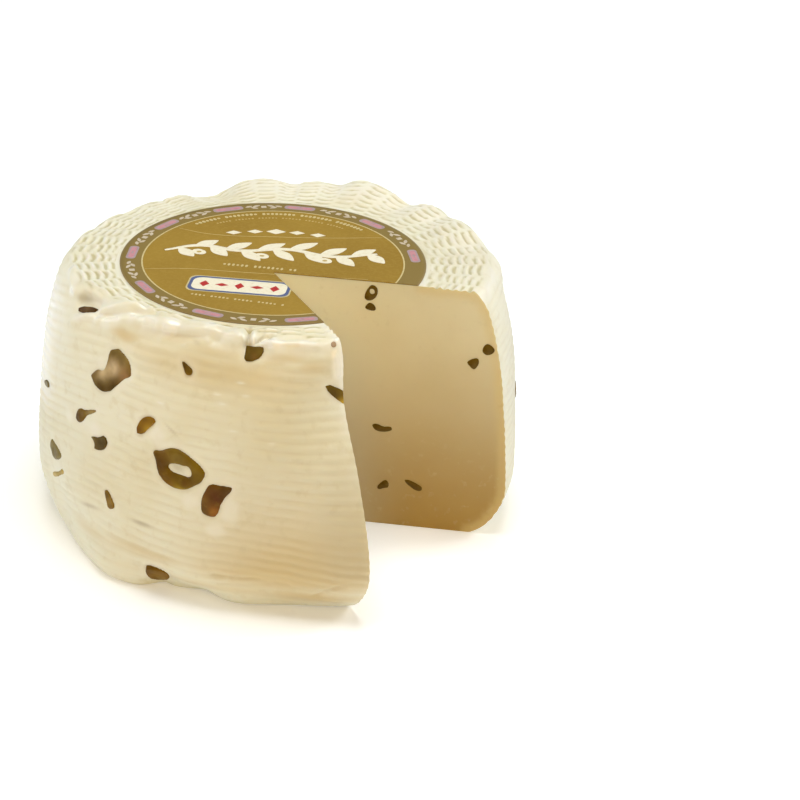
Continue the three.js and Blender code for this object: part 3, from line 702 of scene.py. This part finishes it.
def ridgesRound(azimuth, z, broad, middling):  # pressed by a mould of woven strips, 1 at a ridge's top
    look = cheeseLook
    strip = azimuth / look["stripWidth"] + look["stripWander"] * broad
    jog = look["stripJog"] * np.sin(look["jogScatter"] * np.floor(strip))
    end = atLeast(look["ridgeWane"], np.sin(math.pi * (strip - np.floor(strip))))
    left = wheel["radius"] * np.radians(np.clip(look["levelFrom"] - azimuth, 0, 360))
    slope = np.minimum(left / look["slopeRun"], 2.0)
    right = wheel["radius"] * np.radians(np.clip(azimuth - look["dropFrom"], 0, 360))
    dip = -look["slopeDrop"] * (1 - np.cos(math.pi * slope)) - look["dropSlope"] * right
    waver = look["ridgeWander"] * broad + look["ridgeWaver"] * middling
    return np.cos(2 * math.pi * ((z - dip + waver) / look["ridgePitch"] + jog)) * end


def weaveOver(azimuth, radius, middling):  # short arched dashes, each second column half a pitch on
    look = cheeseLook
    column = azimuth * look["weaveColumns"] / 360.0
    along = column - np.floor(column)
    arch = look["weaveArch"] * np.cos(2 * math.pi * along)
    ring = radius / look["weavePitch"] + 0.5 * (np.floor(column) % 2) + arch + look["weaveWander"] * middling
    end = 1 - smooth(np.abs(along - 0.5), *look["weaveEnds"])
    return np.cos(2 * math.pi * ring) * end


def rindRelief(points, azimuth, row, nearOlive, veil):  # the rind's height, ridges, dashes and shoulder
    look = cheeseLook
    broad, middling, fine = (noiseAt(points, size, seed) for size, seed, _height in look["unevenness"])
    free = smooth(nearOlive, look["calmInner"], look["calmOuter"])
    calm = free * (1 - look["veilCalm"] * veil)
    front = look["shoulder"]
    shoulder = bell(row - front["row"], front["tall"]) * (wrapped(azimuth) < 0)
    shoulder = shoulder * smooth(wrapped(azimuth - front["from"]), 0, front["run"])
    ridge = ridgesRound(azimuth, points[:, 2], broad, middling) * between(row, *look["ridgeRows"])
    ridge = ridge * atLeast(look["worn"], cloudAt(points, *look["patchy"])) * calm
    weave = weaveOver(azimuth, np.hypot(points[:, 0], points[:, 1]), middling)
    weave = weave * smooth(row, *look["weaveRows"])
    weave = weave * atLeast(look["worn"], smooth(fine + 0.6 * middling, *look["wornTop"]))
    relief = look["ridgeDepth"] * ridge + look["weaveDepth"] * weave * (1 - shoulder)
    heights = [height for _size, _seed, height in look["unevenness"]]
    relief += (heights[0] * broad + heights[1] * middling + heights[2] * fine) * free
    crumple = sum(height * noiseAt(points, size, seed) for size, seed, height in look["crumple"])
    relief += crumple * shoulder * calm
    relief += look["veilRise"] * veil * free
    relief -= look["seatDepth"] * (1.0 - smooth(nearOlive, 0.0, look["seatReach"]))
    return relief, ridge, weave * (1 - shoulder), shoulder


def filmField(azimuth, z, ridge):
    film = cheeseLook["film"]
    wet = around(azimuth, film["azimuth"], film["width"]) * atLeast(0.7, np.clip(ridge, -1, 1))
    return wet * between(z, film["rise"], film["fall"])


# a painted highlight along the rind beside the near cut edge, stronger higher up
def edgeHighlightField(points, direction):
    strip = cheeseLook["edgeStrip"]
    beside = np.radians(cut["nearAzimuth"] + 360.0 - direction)
    beside = beside * np.hypot(points[:, 0] - cut["x"], points[:, 1] - cut["y"])
    strength = strip["low"] + strip["more"] * smooth(points[:, 2], *strip["rise"])
    return strength * bell(beside, strip["width"])


# painted highlight along the back of the upper rim, less in the dash grooves
def rimHighlightField(azimuth, row, weaveTint):
    rim = cheeseLook["paleRim"]
    pale = rim["strength"] * around(azimuth, rim["azimuth"], rim["width"])
    return pale * bell(row - rim["row"], rim["tall"]) * (1 - 0.9 * weaveTint)


def addAttribute(bm, name, values):
    layer = bm.verts.layers.float.new(name)
    for vertex, value in zip(bm.verts, values):
        vertex[layer] = float(value)


def fillBetween(bm, corners, rim):  # fills the plane face that a rim and the edges between corners enclose
    edges = list(rim)
    for first, second in zip(corners, corners[1:]):
        edges.append(bm.edges.get((first, second)) or bm.edges.new((first, second)))
    return bmesh.ops.contextual_create(bm, geom=edges)["faces"]


def gridCut(bm, faces, normal, pitch):  # splits a plane face, so that it can carry small unevenness
    for direction in (Vector((-normal.y, normal.x, 0)), Vector((0, 0, 1))):
        places = [v.co.dot(direction) for f in faces for v in f.verts]
        steps = int((max(places) - min(places)) / pitch)
        for step in range(1, steps):
            level = min(places) + step * (max(places) - min(places)) / steps
            geometry = set(faces)
            for face in faces:
                geometry.update(face.edges)
                geometry.update(face.verts)
            result = bmesh.ops.bisect_plane(
                bm, geom=list(geometry), dist=hair, plane_co=direction * level, plane_no=direction)
            faces = [g for g in result["geom"] if isinstance(g, bmesh.types.BMFace)]
    return faces


def closeCheese(bm, over):  # the foot, the seat under the label and the two cut faces
    wall = {}
    for side, pick in (("far", over < slack), ("near", over > 1 - slack)):
        wall[side] = sorted((bm.verts[int(i)] for i in np.nonzero(pick)[0]), key=lambda v: v.index)
    footCorner = bm.verts.new(toScene(cut["x"], cut["y"], 0))
    topCorner = bm.verts.new(toScene(cut["x"], cut["y"], wheel["height"] - label["seatDrop"]))
    rim = [e for e in bm.edges if e.is_boundary]
    onWall = {side: set(verts) for side, verts in wall.items()}
    edges = {side: [e for e in rim if set(e.verts) <= onWall[side]] for side in wall}
    rest = [e for e in rim if e not in set(edges["far"]) | set(edges["near"])]
    footRim = [e for e in rest if max(v.co.z for v in e.verts) < 0.5 * wheel["height"] * mm]
    topRim = [e for e in rest if e not in set(footRim)]
    fillBetween(bm, [wall["far"][0], footCorner, wall["near"][0]], footRim)
    fillBetween(bm, [wall["far"][-1], topCorner, wall["near"][-1]], topRim)
    paste = []
    for side in wall:
        faces = fillBetween(bm, [wall[side][0], footCorner, topCorner, wall[side][-1]], edges[side])
        normal = cutNormal(side)
        paste.append((gridCut(bm, faces, normal, cheeseLook["cutPitch"] * mm), normal))
    return paste, onWall["far"] | onWall["near"]


def finishPaste(bm, paste, rindVerts):  # marks the paste, dents it slightly and tints it beside the rind
    look = cheeseLook
    tree = treeOf([v.co for v in rindVerts])
    layer = bm.verts.layers.float.new("rimTint")
    for faces, normal in paste:
        inside = {v for f in faces for v in f.verts}
        for face in faces:
            face.material_index = 1
            for edge in face.edges:
                if any(other not in faces for other in edge.link_faces):
                    edge.smooth = False
        for vertex in inside:
            gap = tree.find(vertex.co)[2] / mm
            vertex[layer] = 1.0 - float(smooth(gap, *look["rimReach"]))
            if all(f in faces for f in vertex.link_faces):
                dent = 0.5 + 0.5 * noise.noise(vertex.co / (look["dentSize"] * mm))
                vertex.co -= normal * (look["pasteDent"] * dent * mm)


def makeCheese(materials):
    look = cheeseLook
    rows = rowSpacing()
    directions = columnDirections()
    bm = bmesh.new()
    bmesh.ops.create_grid(bm, x_segments=len(directions) - 1, y_segments=len(rows) - 1, size=0.5)
    bm.verts.ensure_lookup_table()
    flat = np.array([v.co[:2] for v in bm.verts]) + 0.5
    column = np.clip(np.round(flat[:, 0] * (len(directions) - 1)).astype(int), 0, len(directions) - 1)
    row = rows[np.clip(np.round(flat[:, 1] * (len(rows) - 1)).astype(int), 0, len(rows) - 1)]
    points, azimuth = shellFromCut(directions[column], row)
    for vertex, point in zip(bm.verts, points):
        vertex.co = toScene(*point)
    bmesh.ops.recalc_face_normals(bm, faces=bm.faces)
    if sum(f.normal.dot(f.calc_center_median() - toScene(0, 0, 40)) for f in bm.faces) < 0:
        bmesh.ops.reverse_faces(bm, faces=bm.faces)
    bm.normal_update()

    tree = treeOf([v.co for name, piece in olives.items() if not faceOf(name) for v in piece.data.vertices])
    nearOlive = np.array([tree.find(v.co)[2] for v in bm.verts]) / mm
    veil = veilField(points)
    creased, creaseGlossAndHighlight = creaseFields(points)
    relief, ridge, weave, shoulder = rindRelief(points, azimuth, row, nearOlive, veil)
    relief = (relief + creased) * between(row, *look["reliefRows"])
    for vertex, height, over in zip(bm.verts, relief, flat[:, 0]):
        move = vertex.normal * (height * mm)
        if over < slack or over > 1 - slack:  # a cut edge keeps to its plane
            normal = cutNormal("far" if over < 0.5 else "near")
            move -= normal * move.dot(normal)
        vertex.co += move

    wet = filmField(azimuth, points[:, 2], ridge)
    # painted shade in the grooves of the dashes
    weaveTint = np.clip(-look["weaveTint"] * weave, 0, 1)
    shoulderGlossAndHighlight = look["shoulderPale"] * shoulder
    # pale skin round pieces and under veils, together with painted highlights along the near cut edge, on
    # glints, dash tops, creases, the film, the back rim and the front shoulder
    pale = np.maximum.reduce([
        look["halo"] * (1.0 - smooth(nearOlive, look["haloFrom"], look["haloReach"])),
        look["veilStrength"] * veil, edgeHighlightField(points, directions[column]),
        spotField(points, look["flecks"], glintAt), look["crestPale"] * np.clip(weave, 0, 1),
        creaseGlossAndHighlight, look["filmPale"] * wet, rimHighlightField(azimuth, row, weaveTint), shoulderGlossAndHighlight,
    ])
    # gloss, which also lays on a painted sheen of pale colour
    gloss = np.maximum.reduce([look["filmGloss"] * wet, creaseGlossAndHighlight, shoulderGlossAndHighlight])
    topTan = look["topStrength"] * cloudAt(points, *look["topClouds"]) * smooth(row, *look["topRows"])
    for name, values in (
        ("paleSkin", pale), ("wetFilm", np.clip(gloss, 0, 1)),
        ("sunkShade", spotField(points, look["shades"], shadeAt)),
        ("tanPatch", np.maximum(tanAndShadeField(azimuth, row), topTan)),
        ("grooveTint", np.clip(-look["ridgeTint"] * ridge, 0, 1)), ("weaveTint", weaveTint),
    ):
        addAttribute(bm, name, values)

    paste, rindVerts = closeCheese(bm, flat[:, 0])
    finishPaste(bm, paste, rindVerts)
    bmesh.ops.recalc_face_normals(bm, faces=bm.faces)
    piece = pieceFrom(bm, "cheeseBody", materials)
    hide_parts("cheese_wheel")
    return piece


def rindMaterial():
    look = cheeseLook
    material, tree, shader = newMaterial("rindIvory")
    patch = mottle(tree, *look["rindPatch"])
    colour = mixColour(tree, patch, rgb(*look["rindLight"]), rgb(*look["rindDark"]))
    for name, amount, tint in look["rindLayers"]:
        mask = mottle(tree, *look["rindSpeck"]) if name == "speck" else attribute(tree, name)
        colour = layOver(tree, colour, mask, amount, look[tint])
    wet = attribute(tree, "wetFilm")
    roughness = stretch(tree, wet, 0, 1, *look["rindRoughness"])
    coat = stretch(tree, wet, 0, 1, *look["rindCoat"])
    feed(tree, shader, Base_Color=colour, Roughness=roughness, Coat_Weight=coat, **look["rindSurface"])
    grain(tree, shader, *look["rindGrain"])
    return material


def pasteMaterial():
    look = cheeseLook
    material, tree, shader = newMaterial("cutPaste")
    place = addNode(tree, "ShaderNodeSeparateXYZ")
    feed(tree, place, Vector=addNode(tree, "ShaderNodeTexCoord").outputs["Object"])
    # painted shade: the paste darker and browner towards the bottom
    depth = stretch(tree, place.outputs["Z"], look["pasteDepth"], 0.0)
    # partly a paler core, partly painted light on the shaded inner corner
    core = stretch(tree, awayFrom(tree, Vector((0, 0, 0))), look["coreReach"], 0.0)
    speck = mottle(tree, *look["pasteSpeck"])
    cloud = mottle(tree, *look["pasteCloud"])
    colour = mixColour(tree, cloud, rgb(*look["pasteTop"]), rgb(*look["pasteMottle"]))
    colour = mixColour(tree, depth, colour, rgb(*look["pasteFoot"]))
    colour = layOver(tree, colour, core, look["coreShare"], look["pasteCore"])
    colour = layOver(tree, colour, attribute(tree, "rimTint"), look["rimShare"], look["pasteRim"])
    colour = layOver(tree, colour, speck, look["speckShare"], look["groove"])
    feed(tree, shader, Base_Color=colour, **look["pasteSurface"])
    grain(tree, shader, *look["pasteGrain"])
    return material


cheese = makeCheese([rindMaterial(), pasteMaterial()])
print("cheese faces:", len(cheese.data.polygons))


# the label: a flat paper sheet with thin printed shapes on it, in millimetres about its middle

labelLook = {
    "sheetThick": 0.25, "sheetDrop": 0.12, "rings": 26, "sides": 240, "inkThick": 0.02,
    "inkLift": 0.012, "inkDrop": 0.1,  # each level of ink lies a little higher
    "turn": -8.0, "gold": (156, 126, 48), "goldDeep": (146, 116, 42), "fibre": (180, 150, 72),
    "cloud": (26.0, 3.0, 0.35, 0.7), "threads": (900.0, 3.0, 0.4, 0.7), "threadShare": 0.18,
    "borderFrom": 45.2, "border": (134, 114, 62), "rimFrom": 52.0, "rim": (146, 126, 82),
    "paperSurface": {"Roughness": 0.6, "Specular IOR Level": 0.25}, "paperGrain": (1500.0, 0.25, 0.00008),
    "inkWear": (700.0, 3.0, 0.45, 0.75), "inkRoughness": 0.45, "inkGrain": (1500.0, 0.2, 0.00006),
    "inks": {
        "ivory": ((238, 232, 210), (228, 219, 190)), "cream": ((206, 192, 142), (190, 174, 118)),
        "paleGold": ((188, 164, 98), (176, 150, 82)), "pink": ((200, 142, 150), (188, 128, 138)),
        "lilac": ((172, 152, 156), (156, 138, 144)), "mist": ((204, 192, 172), (186, 172, 150)),
        "slate": ((84, 98, 142), (76, 90, 132)), "brick": ((184, 46, 44), (168, 42, 40)),
    },
    "cartouches": {
        "hoop": (45.0, 0.5), "radius": 48.9, "long": 10.6, "tall": 3.0,
        "fields": [("lilac", 0, 0.5, 0.3, 1.4), ("pink", 1, -1.6, -1.1, 0.8)],  # longer, taller and corner
        "bar": (2.6, 0.8), "lozenge": 2.6, "leafTall": 1.35,
        "at": [10, 47.5, 82, 112.5, 143.5, 176, 211.5, 247, 284], "end": 322.0,
        "leaves": [(3.6, 0.9, 28, 3.2), (4.8, -0.7, -24, 3.0), (7.4, 0.6, 22, 2.8)],  # along, out, turn, long
    },
    "sprig": {
        "stem": [(-38, 6.5), (-26, 11.5), (-12, 8.0), (4, 10.5), (20, 5.5), (35.5, 9.0)], "width": 2.3,
        "first": 5.0, "last": 3.0,  # how far the outer leaves are from the stem's ends
        "leaves": 13, "leafLong": 12.5, "shorter": 0.5, "leafTall": 5.0, "opening": 44.0, "fruitEvery": 4,
        "fruit": (5.4, 4.2), "shine": (1.8, 1.4), "aside": 1.5, "below": 5.0,
    },
    "medallion": {
        "x": -10.2, "y": -22.4, "wide": 34.4, "tall": 12.0, "corner": 3.0, "turn": -6.5,
        "fields": [("cream", 1, -1.0), ("slate", 2, 0.0), ("ivory", 3, 2.2)],  # how much less than the size
        "pitch": 6.0, "upright": (3.4, 5.0), "level": (4.8, 2.6),
    },
    "lineWidth": 0.5,
    "lines": [
        [(-34.6, 26.2), (-23.8, 22.0), (0.5, 21.3), (20, 22.0), (37, 23.9)],
        [(-43.3, -10.3), (-28.7, -9.0), (-16.4, -10.0), (8, -11.8), (32.8, -13.2)],
    ],
    "arcs": [  # radius and two angles, then ink, count, width, height and marks to a gap
        ((42.2, 133, 44), "cream", 44, 1.2, 1.9, 9), ((38.5, 124, 54), "paleGold", 40, 0.8, 1.1, 7),
    ],
    "rows": [  # start and end, then the same
        (((-16.5, -4.0), (7.8, -7.3)), "cream", 17, 1.0, 2.1, 8),
        (((-25.5, -29.9), (5.1, -36.5)), "cream", 24, 0.9, 1.4, 6),
    ],
    "lozenges": {"eachSide": 2, "pitch": 7.4, "left": 0.5, "y": 26.0, "sag": 0.5, "size": 4.6, "middle": 6.0},
}
labelMiddle = toScene(label["x"], label["y"], 0)


def cutWedge(bm):  # takes the cut-out wedge away from a flat mesh that is in place
    origin = toScene(cut["x"], cut["y"], 0)
    for side in ("far", "near"):
        bmesh.ops.bisect_plane(
            bm, geom=bm.verts[:] + bm.edges[:] + bm.faces[:], dist=hair,
            plane_co=origin, plane_no=cutNormal(side))
    gone = []
    for face in bm.faces:
        away = face.calc_center_median() - origin
        if cut["nearAzimuth"] < math.degrees(math.atan2(away.y, away.x)) < cut["farAzimuth"]:
            gone.append(face)
    bmesh.ops.delete(bm, geom=gone, context="FACES")


def layOnLabel(bm, level):
    for vertex in bm.verts:
        vertex.co = labelMiddle + Vector((vertex.co.x, vertex.co.y, wheel["height"] + level)) * mm
    cutWedge(bm)
    bm.normal_update()
    for face in bm.faces:
        if face.normal.z < 0:
            face.normal_flip()


def thicken(piece, name, thickness):
    solid = piece.modifiers.new(name, "SOLIDIFY")
    solid.thickness = thickness * mm
    solid.offset = -1.0


def spun(radii):  # a flat disc or ring with edges at some radii
    bm = bmesh.new()
    line = [bm.verts.new((radius, 0, 0)) for radius in radii]
    edges = [bm.edges.new(pair) for pair in zip(line, line[1:])]
    bmesh.ops.spin(bm, geom=line + edges, cent=(0, 0, 0), axis=(0, 0, 1), angle=2 * math.pi,
                   steps=labelLook["sides"], use_merge=True)
    return bm


def makeSheet(material):
    rings = labelLook["rings"]
    bm = spun([label["radius"] * ring / rings for ring in range(rings + 1)])
    bmesh.ops.remove_doubles(bm, verts=bm.verts, dist=1e-4)
    layOnLabel(bm, -labelLook["sheetDrop"])
    piece = pieceFrom(bm, "labelSheet", [material])
    thicken(piece, "paper", labelLook["sheetThick"])
    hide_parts("label")


def sheetMaterial():
    look = labelLook
    material, tree, shader = newMaterial("labelGold")
    reach = awayFrom(tree, labelMiddle)
    colour = mixColour(tree, mottle(tree, *look["cloud"]), rgb(*look["gold"]), rgb(*look["goldDeep"]))
    colour = layOver(tree, colour, mottle(tree, *look["threads"]), look["threadShare"], look["fibre"])
    for start, tint in ((look["borderFrom"], look["border"]), (look["rimFrom"], look["rim"])):
        colour = mixColour(tree, stretch(tree, reach, start * mm, (start + 0.2) * mm), colour, rgb(*tint))
    feed(tree, shader, Base_Color=colour, **look["paperSurface"])
    grain(tree, shader, *look["paperGrain"])
    return material


def inkMaterial(name, colour, shade):
    look = labelLook
    material, tree, shader = newMaterial("ink_" + name)
    worn = mixColour(tree, mottle(tree, *look["inkWear"]), rgb(*colour), rgb(*shade))
    feed(tree, shader, Base_Color=worn, Roughness=look["inkRoughness"])
    grain(tree, shader, *look["inkGrain"])
    return material


inks = {name: inkMaterial(name, *tints) for name, tints in labelLook["inks"].items()}
printed = []  # the ink, the level and the mesh of each printed shape


def placeShape(bm, ink, level, place, turn):
    turned = Matrix.Rotation(math.radians(turn), 3, "Z")
    bmesh.ops.rotate(bm, verts=bm.verts, cent=(0, 0, 0), matrix=turned)
    bmesh.ops.translate(bm, verts=bm.verts, vec=(place[0], place[1], 0))
    printed.append((ink, level, bm))


def plate(ink, level, place, wide, tall, turn=0.0, sides=24, pinch=0.0):  # an oval, a leaf or a lozenge
    bm = bmesh.new()
    bmesh.ops.create_circle(bm, cap_ends=True, segments=sides, radius=0.5)
    for vertex in bm.verts:
        up = vertex.co.y * (1 - pinch * abs(2 * vertex.co.x) ** 1.6)
        vertex.co = Vector((vertex.co.x * wide, up * tall, 0))
    placeShape(bm, ink, level, place, turn)


def slab(ink, level, place, wide, tall, corner, turn):  # a rectangle with round corners
    bm = bmesh.new()
    bmesh.ops.create_grid(bm, x_segments=1, y_segments=1, size=0.5)
    bmesh.ops.scale(bm, verts=bm.verts, vec=(wide, tall, 1))
    bmesh.ops.bevel(
        bm, geom=bm.verts[:], offset=corner, segments=6, profile=0.5, affect="VERTICES", material=-1)
    placeShape(bm, ink, level, place, turn)


def hoop(ink, level, radius, width):
    printed.append((ink, level, spun([radius - width / 2, radius + width / 2])))


def stroke(ink, level, points, width):  # a flat stroke along a smooth curve, thinner towards its ends
    curve = bpy.data.curves.new("stroke", "CURVE")
    curve.dimensions = "3D"
    curve.bevel_depth = width / 2
    curve.bevel_resolution = 2
    curve.use_fill_caps = True
    curve.resolution_u = 14
    spline = curve.splines.new("BEZIER")
    spline.bezier_points.add(len(points) - 1)
    for index, (knot, point) in enumerate(zip(spline.bezier_points, points)):
        knot.co = (point[0], point[1], 0)
        knot.handle_left_type = knot.handle_right_type = "AUTO"
        knot.radius = 0.55 if index in (0, len(points) - 1) else 1.0
    holder = bpy.data.objects.new("stroke", curve)
    scene.collection.objects.link(holder)
    bm = bmesh.new()
    shown = holder.evaluated_get(bpy.context.evaluated_depsgraph_get())
    bm.from_mesh(bpy.data.meshes.new_from_object(shown))
    bpy.data.objects.remove(holder)
    bmesh.ops.delete(bm, geom=[f for f in bm.faces if f.calc_center_median().z < 1e-6], context="FACES")
    for vertex in bm.verts:
        vertex.co.z = 0
    printed.append((ink, level, bm))


def onArc(radius, angle):
    return radius * math.cos(math.radians(angle)), radius * math.sin(math.radians(angle))


def printMarks(ink, markAt, count, wide, tall, gapEvery, low, sides):  # a row with a gap now and then
    for step in range(count):
        if step % gapEvery != gapEvery - 2:
            place, turn = markAt(step / (count - 1))
            plate(ink, 0, place, wide, tall if step % 3 else low * tall, turn, sides=sides)


def alongLine(start, end):  # gives the place and the turn of a mark that is some way along
    reach = np.subtract(end, start)
    turn = math.degrees(math.atan2(reach[1], reach[0]))
    return lambda along: (start + reach * along, turn)


def alongArc(radius, start, end):
    def markAt(along):
        angle = start + (end - start) * along
        return onArc(radius, angle), angle - 90

    return markAt


def printBorder():
    look = labelLook["cartouches"]
    hoop("cream", 0, *look["hoop"])
    for angle, following in zip(look["at"], look["at"][1:] + [look["end"]]):
        place = onArc(look["radius"], angle)
        for ink, level, longer, taller, corner in look["fields"]:
            slab(ink, level, place, look["long"] + longer, look["tall"] + taller, corner, angle + 90)
        plate("lilac", 2, place, *look["bar"], angle + 90, sides=8)
        middle = (angle + following) / 2
        spread = (following - angle) / 36
        lozenge = look["lozenge"]
        plate("mist", 0, onArc(look["radius"], middle), lozenge, lozenge, middle + 45, sides=4)
        for side in (-1, 1):
            for offset, lift, tilt, long in look["leaves"]:
                at = middle + side * offset * spread
                spot = onArc(look["radius"] + lift, at)
                plate("mist", 0, spot, long, look["leafTall"], at + 90 + side * tilt, sides=10, pinch=0.5)


def printSprig():  # an olive sprig across the middle
    look = labelLook["sprig"]
    stem = look["stem"]
    stroke("ivory", 0, stem, look["width"])
    first, last = stem[0][0] + look["first"], stem[-1][0] - look["last"]
    for step in range(look["leaves"]):
        x = first + (last - first) * step / (look["leaves"] - 1)
        y = float(np.interp(x, [p[0] for p in stem], [p[1] for p in stem]))
        side = 1 if step % 2 else -1
        long = look["leafLong"] - look["shorter"] * abs(step - look["leaves"] / 2)
        heading = labelLook["turn"] + side * look["opening"]
        reach = (0.45 * long) * np.array(onArc(1.0, heading))
        leafLevel = 1 + step % 2
        plate("ivory", leafLevel, (x + reach[0], y + reach[1]), long, look["leafTall"], heading, pinch=0.55)
        if step % look["fruitEvery"] == 1:
            fruit = (x + look["aside"], y - side * look["below"])
            plate("ivory", 3, fruit, *look["fruit"], labelLook["turn"] - 30 * side, sides=20)
            plate("paleGold", 4, fruit, *look["shine"], labelLook["turn"], sides=10)


def printMedallion():  # a plate with round corners and a row of lozenges
    look = labelLook["medallion"]
    place = (look["x"], look["y"])
    for ink, level, less in look["fields"]:
        slab(ink, level, place, look["wide"] - less, look["tall"] - less, look["corner"], look["turn"])
    along = onArc(1.0, look["turn"])
    for step in range(-2, 3):
        reach = look["pitch"] * step
        spot = (place[0] + reach * along[0], place[1] + reach * along[1])
        size = look["level"] if step % 2 else look["upright"]
        plate("brick", 4, spot, *size, look["turn"], sides=4)


def printRows():  # thin lines, rows of small marks and a row of lozenges
    for points in labelLook["lines"]:
        stroke("paleGold", 0, points, labelLook["lineWidth"])
    for ends, ink, *marks in labelLook["arcs"]:
        printMarks(ink, alongArc(*ends), *marks, 0.75, 8)
    for ends, ink, *marks in labelLook["rows"]:
        printMarks(ink, alongLine(*ends), *marks, 0.7, 6)
    look = labelLook["lozenges"]
    for step in range(-look["eachSide"], look["eachSide"] + 1):
        size = look["size"] if step else look["middle"]
        spot = (look["pitch"] * step - look["left"], look["y"] - look["sag"] * step * step)
        plate("ivory", 0, spot, size + 1.0, size * 0.75, -2.0 * step, sides=4)


def finishPrint():
    names = sorted(inks)
    whole = bmesh.new()
    for ink, level, bm in printed:
        layOnLabel(bm, labelLook["inkLift"] * (level + 1) - labelLook["inkDrop"])
        for face in bm.faces:
            face.material_index = names.index(ink)
        mesh = bpy.data.meshes.new("shape")
        bm.to_mesh(mesh)
        bm.free()
        whole.from_mesh(mesh)
        bpy.data.meshes.remove(mesh)
    piece = pieceFrom(whole, "labelPrint", [inks[name] for name in names], smoothShade=False)
    thicken(piece, "ink", labelLook["inkThick"])


makeSheet(sheetMaterial())
printBorder()
printRows()
printSprig()
printMedallion()
finishPrint()
print("label printed, shapes:", len(printed))


# stage, light and camera

stageLook = {
    "camera": (43.73, -881.32, 473.29), "down": 26.18, "roll": 1.97,
    "focalPixels": 2781.9, "photoWidth": 800, "sensor": 36.0,
    "aim": (0.0, 0.0, 0.05),
    "softboxes": {  # place, size, watts and tint
        "leftBox": ((-1.2, 0.1, 0.6), 0.6, 4.2, (1, 1, 1)),
        "rightBox": ((1.2, 0.5, 0.8), 0.6, 9.4, (1, 1, 1)),
        "topBox": ((0.0, 0.0, 1.5), 0.8, 14.3, (0.97, 1, 1)),
        "frontBox": ((0.0, -1.5, 0.9), 0.9, 8.6, (1.0, 0.6, 0.1)),
    },
    "world": (0.9, 1.0, 1.0, 1), "worldStrength": 0.14, "backdrop": (1.0, 1.0, 1.0, 1),
    "floor": (0.96, 0.97, 0.98, 1), "floorSize": 4.0, "floorDrop": 0.2 * mm,
    "glowNear": (0.144, 0.152, 0.16, 1), "glowFar": (0.95, 0.97, 0.99, 1),
    "glowFrom": 0.5, "glowTo": 1.3,  # metres from the cheese, where the floor's own glow rises
}


def makeStage():
    bm = bmesh.new()
    bmesh.ops.create_grid(bm, x_segments=2, y_segments=2, size=stageLook["floorSize"])
    bmesh.ops.translate(bm, verts=bm.verts, vec=(0, 0, -stageLook["floorDrop"]))
    floor = objectFrom(bm, "floor")
    material, tree, shader = newMaterial("floorWhite")
    feed(tree, shader, Base_Color=stageLook["floor"], Roughness=0.8)
    away = stretch(tree, awayFrom(tree, Vector((0, 0, 0))), stageLook["glowFrom"], stageLook["glowTo"])
    glow = mixColour(tree, away, stageLook["glowNear"], stageLook["glowFar"])
    feed(tree, shader, Emission_Color=glow, Emission_Strength=1.0)
    floor.data.materials.append(material)


def addSoftbox(name, place, size, watts, tint):
    light = bpy.data.lights.new(name, "AREA")
    light.shape = "SQUARE"
    light.size = size
    light.energy = watts
    light.color = tint
    box = bpy.data.objects.new(name, light)
    box.location = place
    box.rotation_euler = (Vector(stageLook["aim"]) - Vector(place)).to_track_quat("-Z", "Y").to_euler()
    scene.collection.objects.link(box)


def addCamera():
    look = stageLook
    lens = bpy.data.cameras.new("camera")
    lens.sensor_width = look["sensor"]
    lens.lens = look["focalPixels"] / look["photoWidth"] * look["sensor"]
    camera = bpy.data.objects.new("camera", lens)
    tilt = Matrix.Rotation(math.radians(90 - look["down"]), 4, "X")
    roll = Matrix.Rotation(math.radians(look["roll"]), 4, "Z")
    camera.matrix_world = Matrix.Translation(toScene(*look["camera"])) @ tilt @ roll
    scene.collection.objects.link(camera)
    scene.camera = camera


def makeStudio():  # a dim surround that lights softly, and is itself seen as plain pale paper
    world = bpy.data.worlds.new("studio")
    world.use_nodes = True
    tree = world.node_tree
    dim = tree.nodes["Background"]
    feed(tree, dim, Color=stageLook["world"], Strength=stageLook["worldStrength"])
    pale = addNode(tree, "ShaderNodeBackground")
    feed(tree, pale, Color=stageLook["backdrop"])
    either = addNode(tree, "ShaderNodeMixShader")
    put(tree, either.inputs["Fac"], addNode(tree, "ShaderNodeLightPath").outputs["Is Camera Ray"])
    put(tree, either.inputs[1], dim.outputs["Background"])
    put(tree, either.inputs[2], pale.outputs["Background"])
    put(tree, tree.nodes["World Output"].inputs["Surface"], either.outputs["Shader"])
    scene.world = world


makeStage()
makeStudio()
for boxName, settings in stageLook["softboxes"].items():
    addSoftbox(boxName, *settings)
scene.view_settings.view_transform = "Standard"
addCamera()
print("stage set")
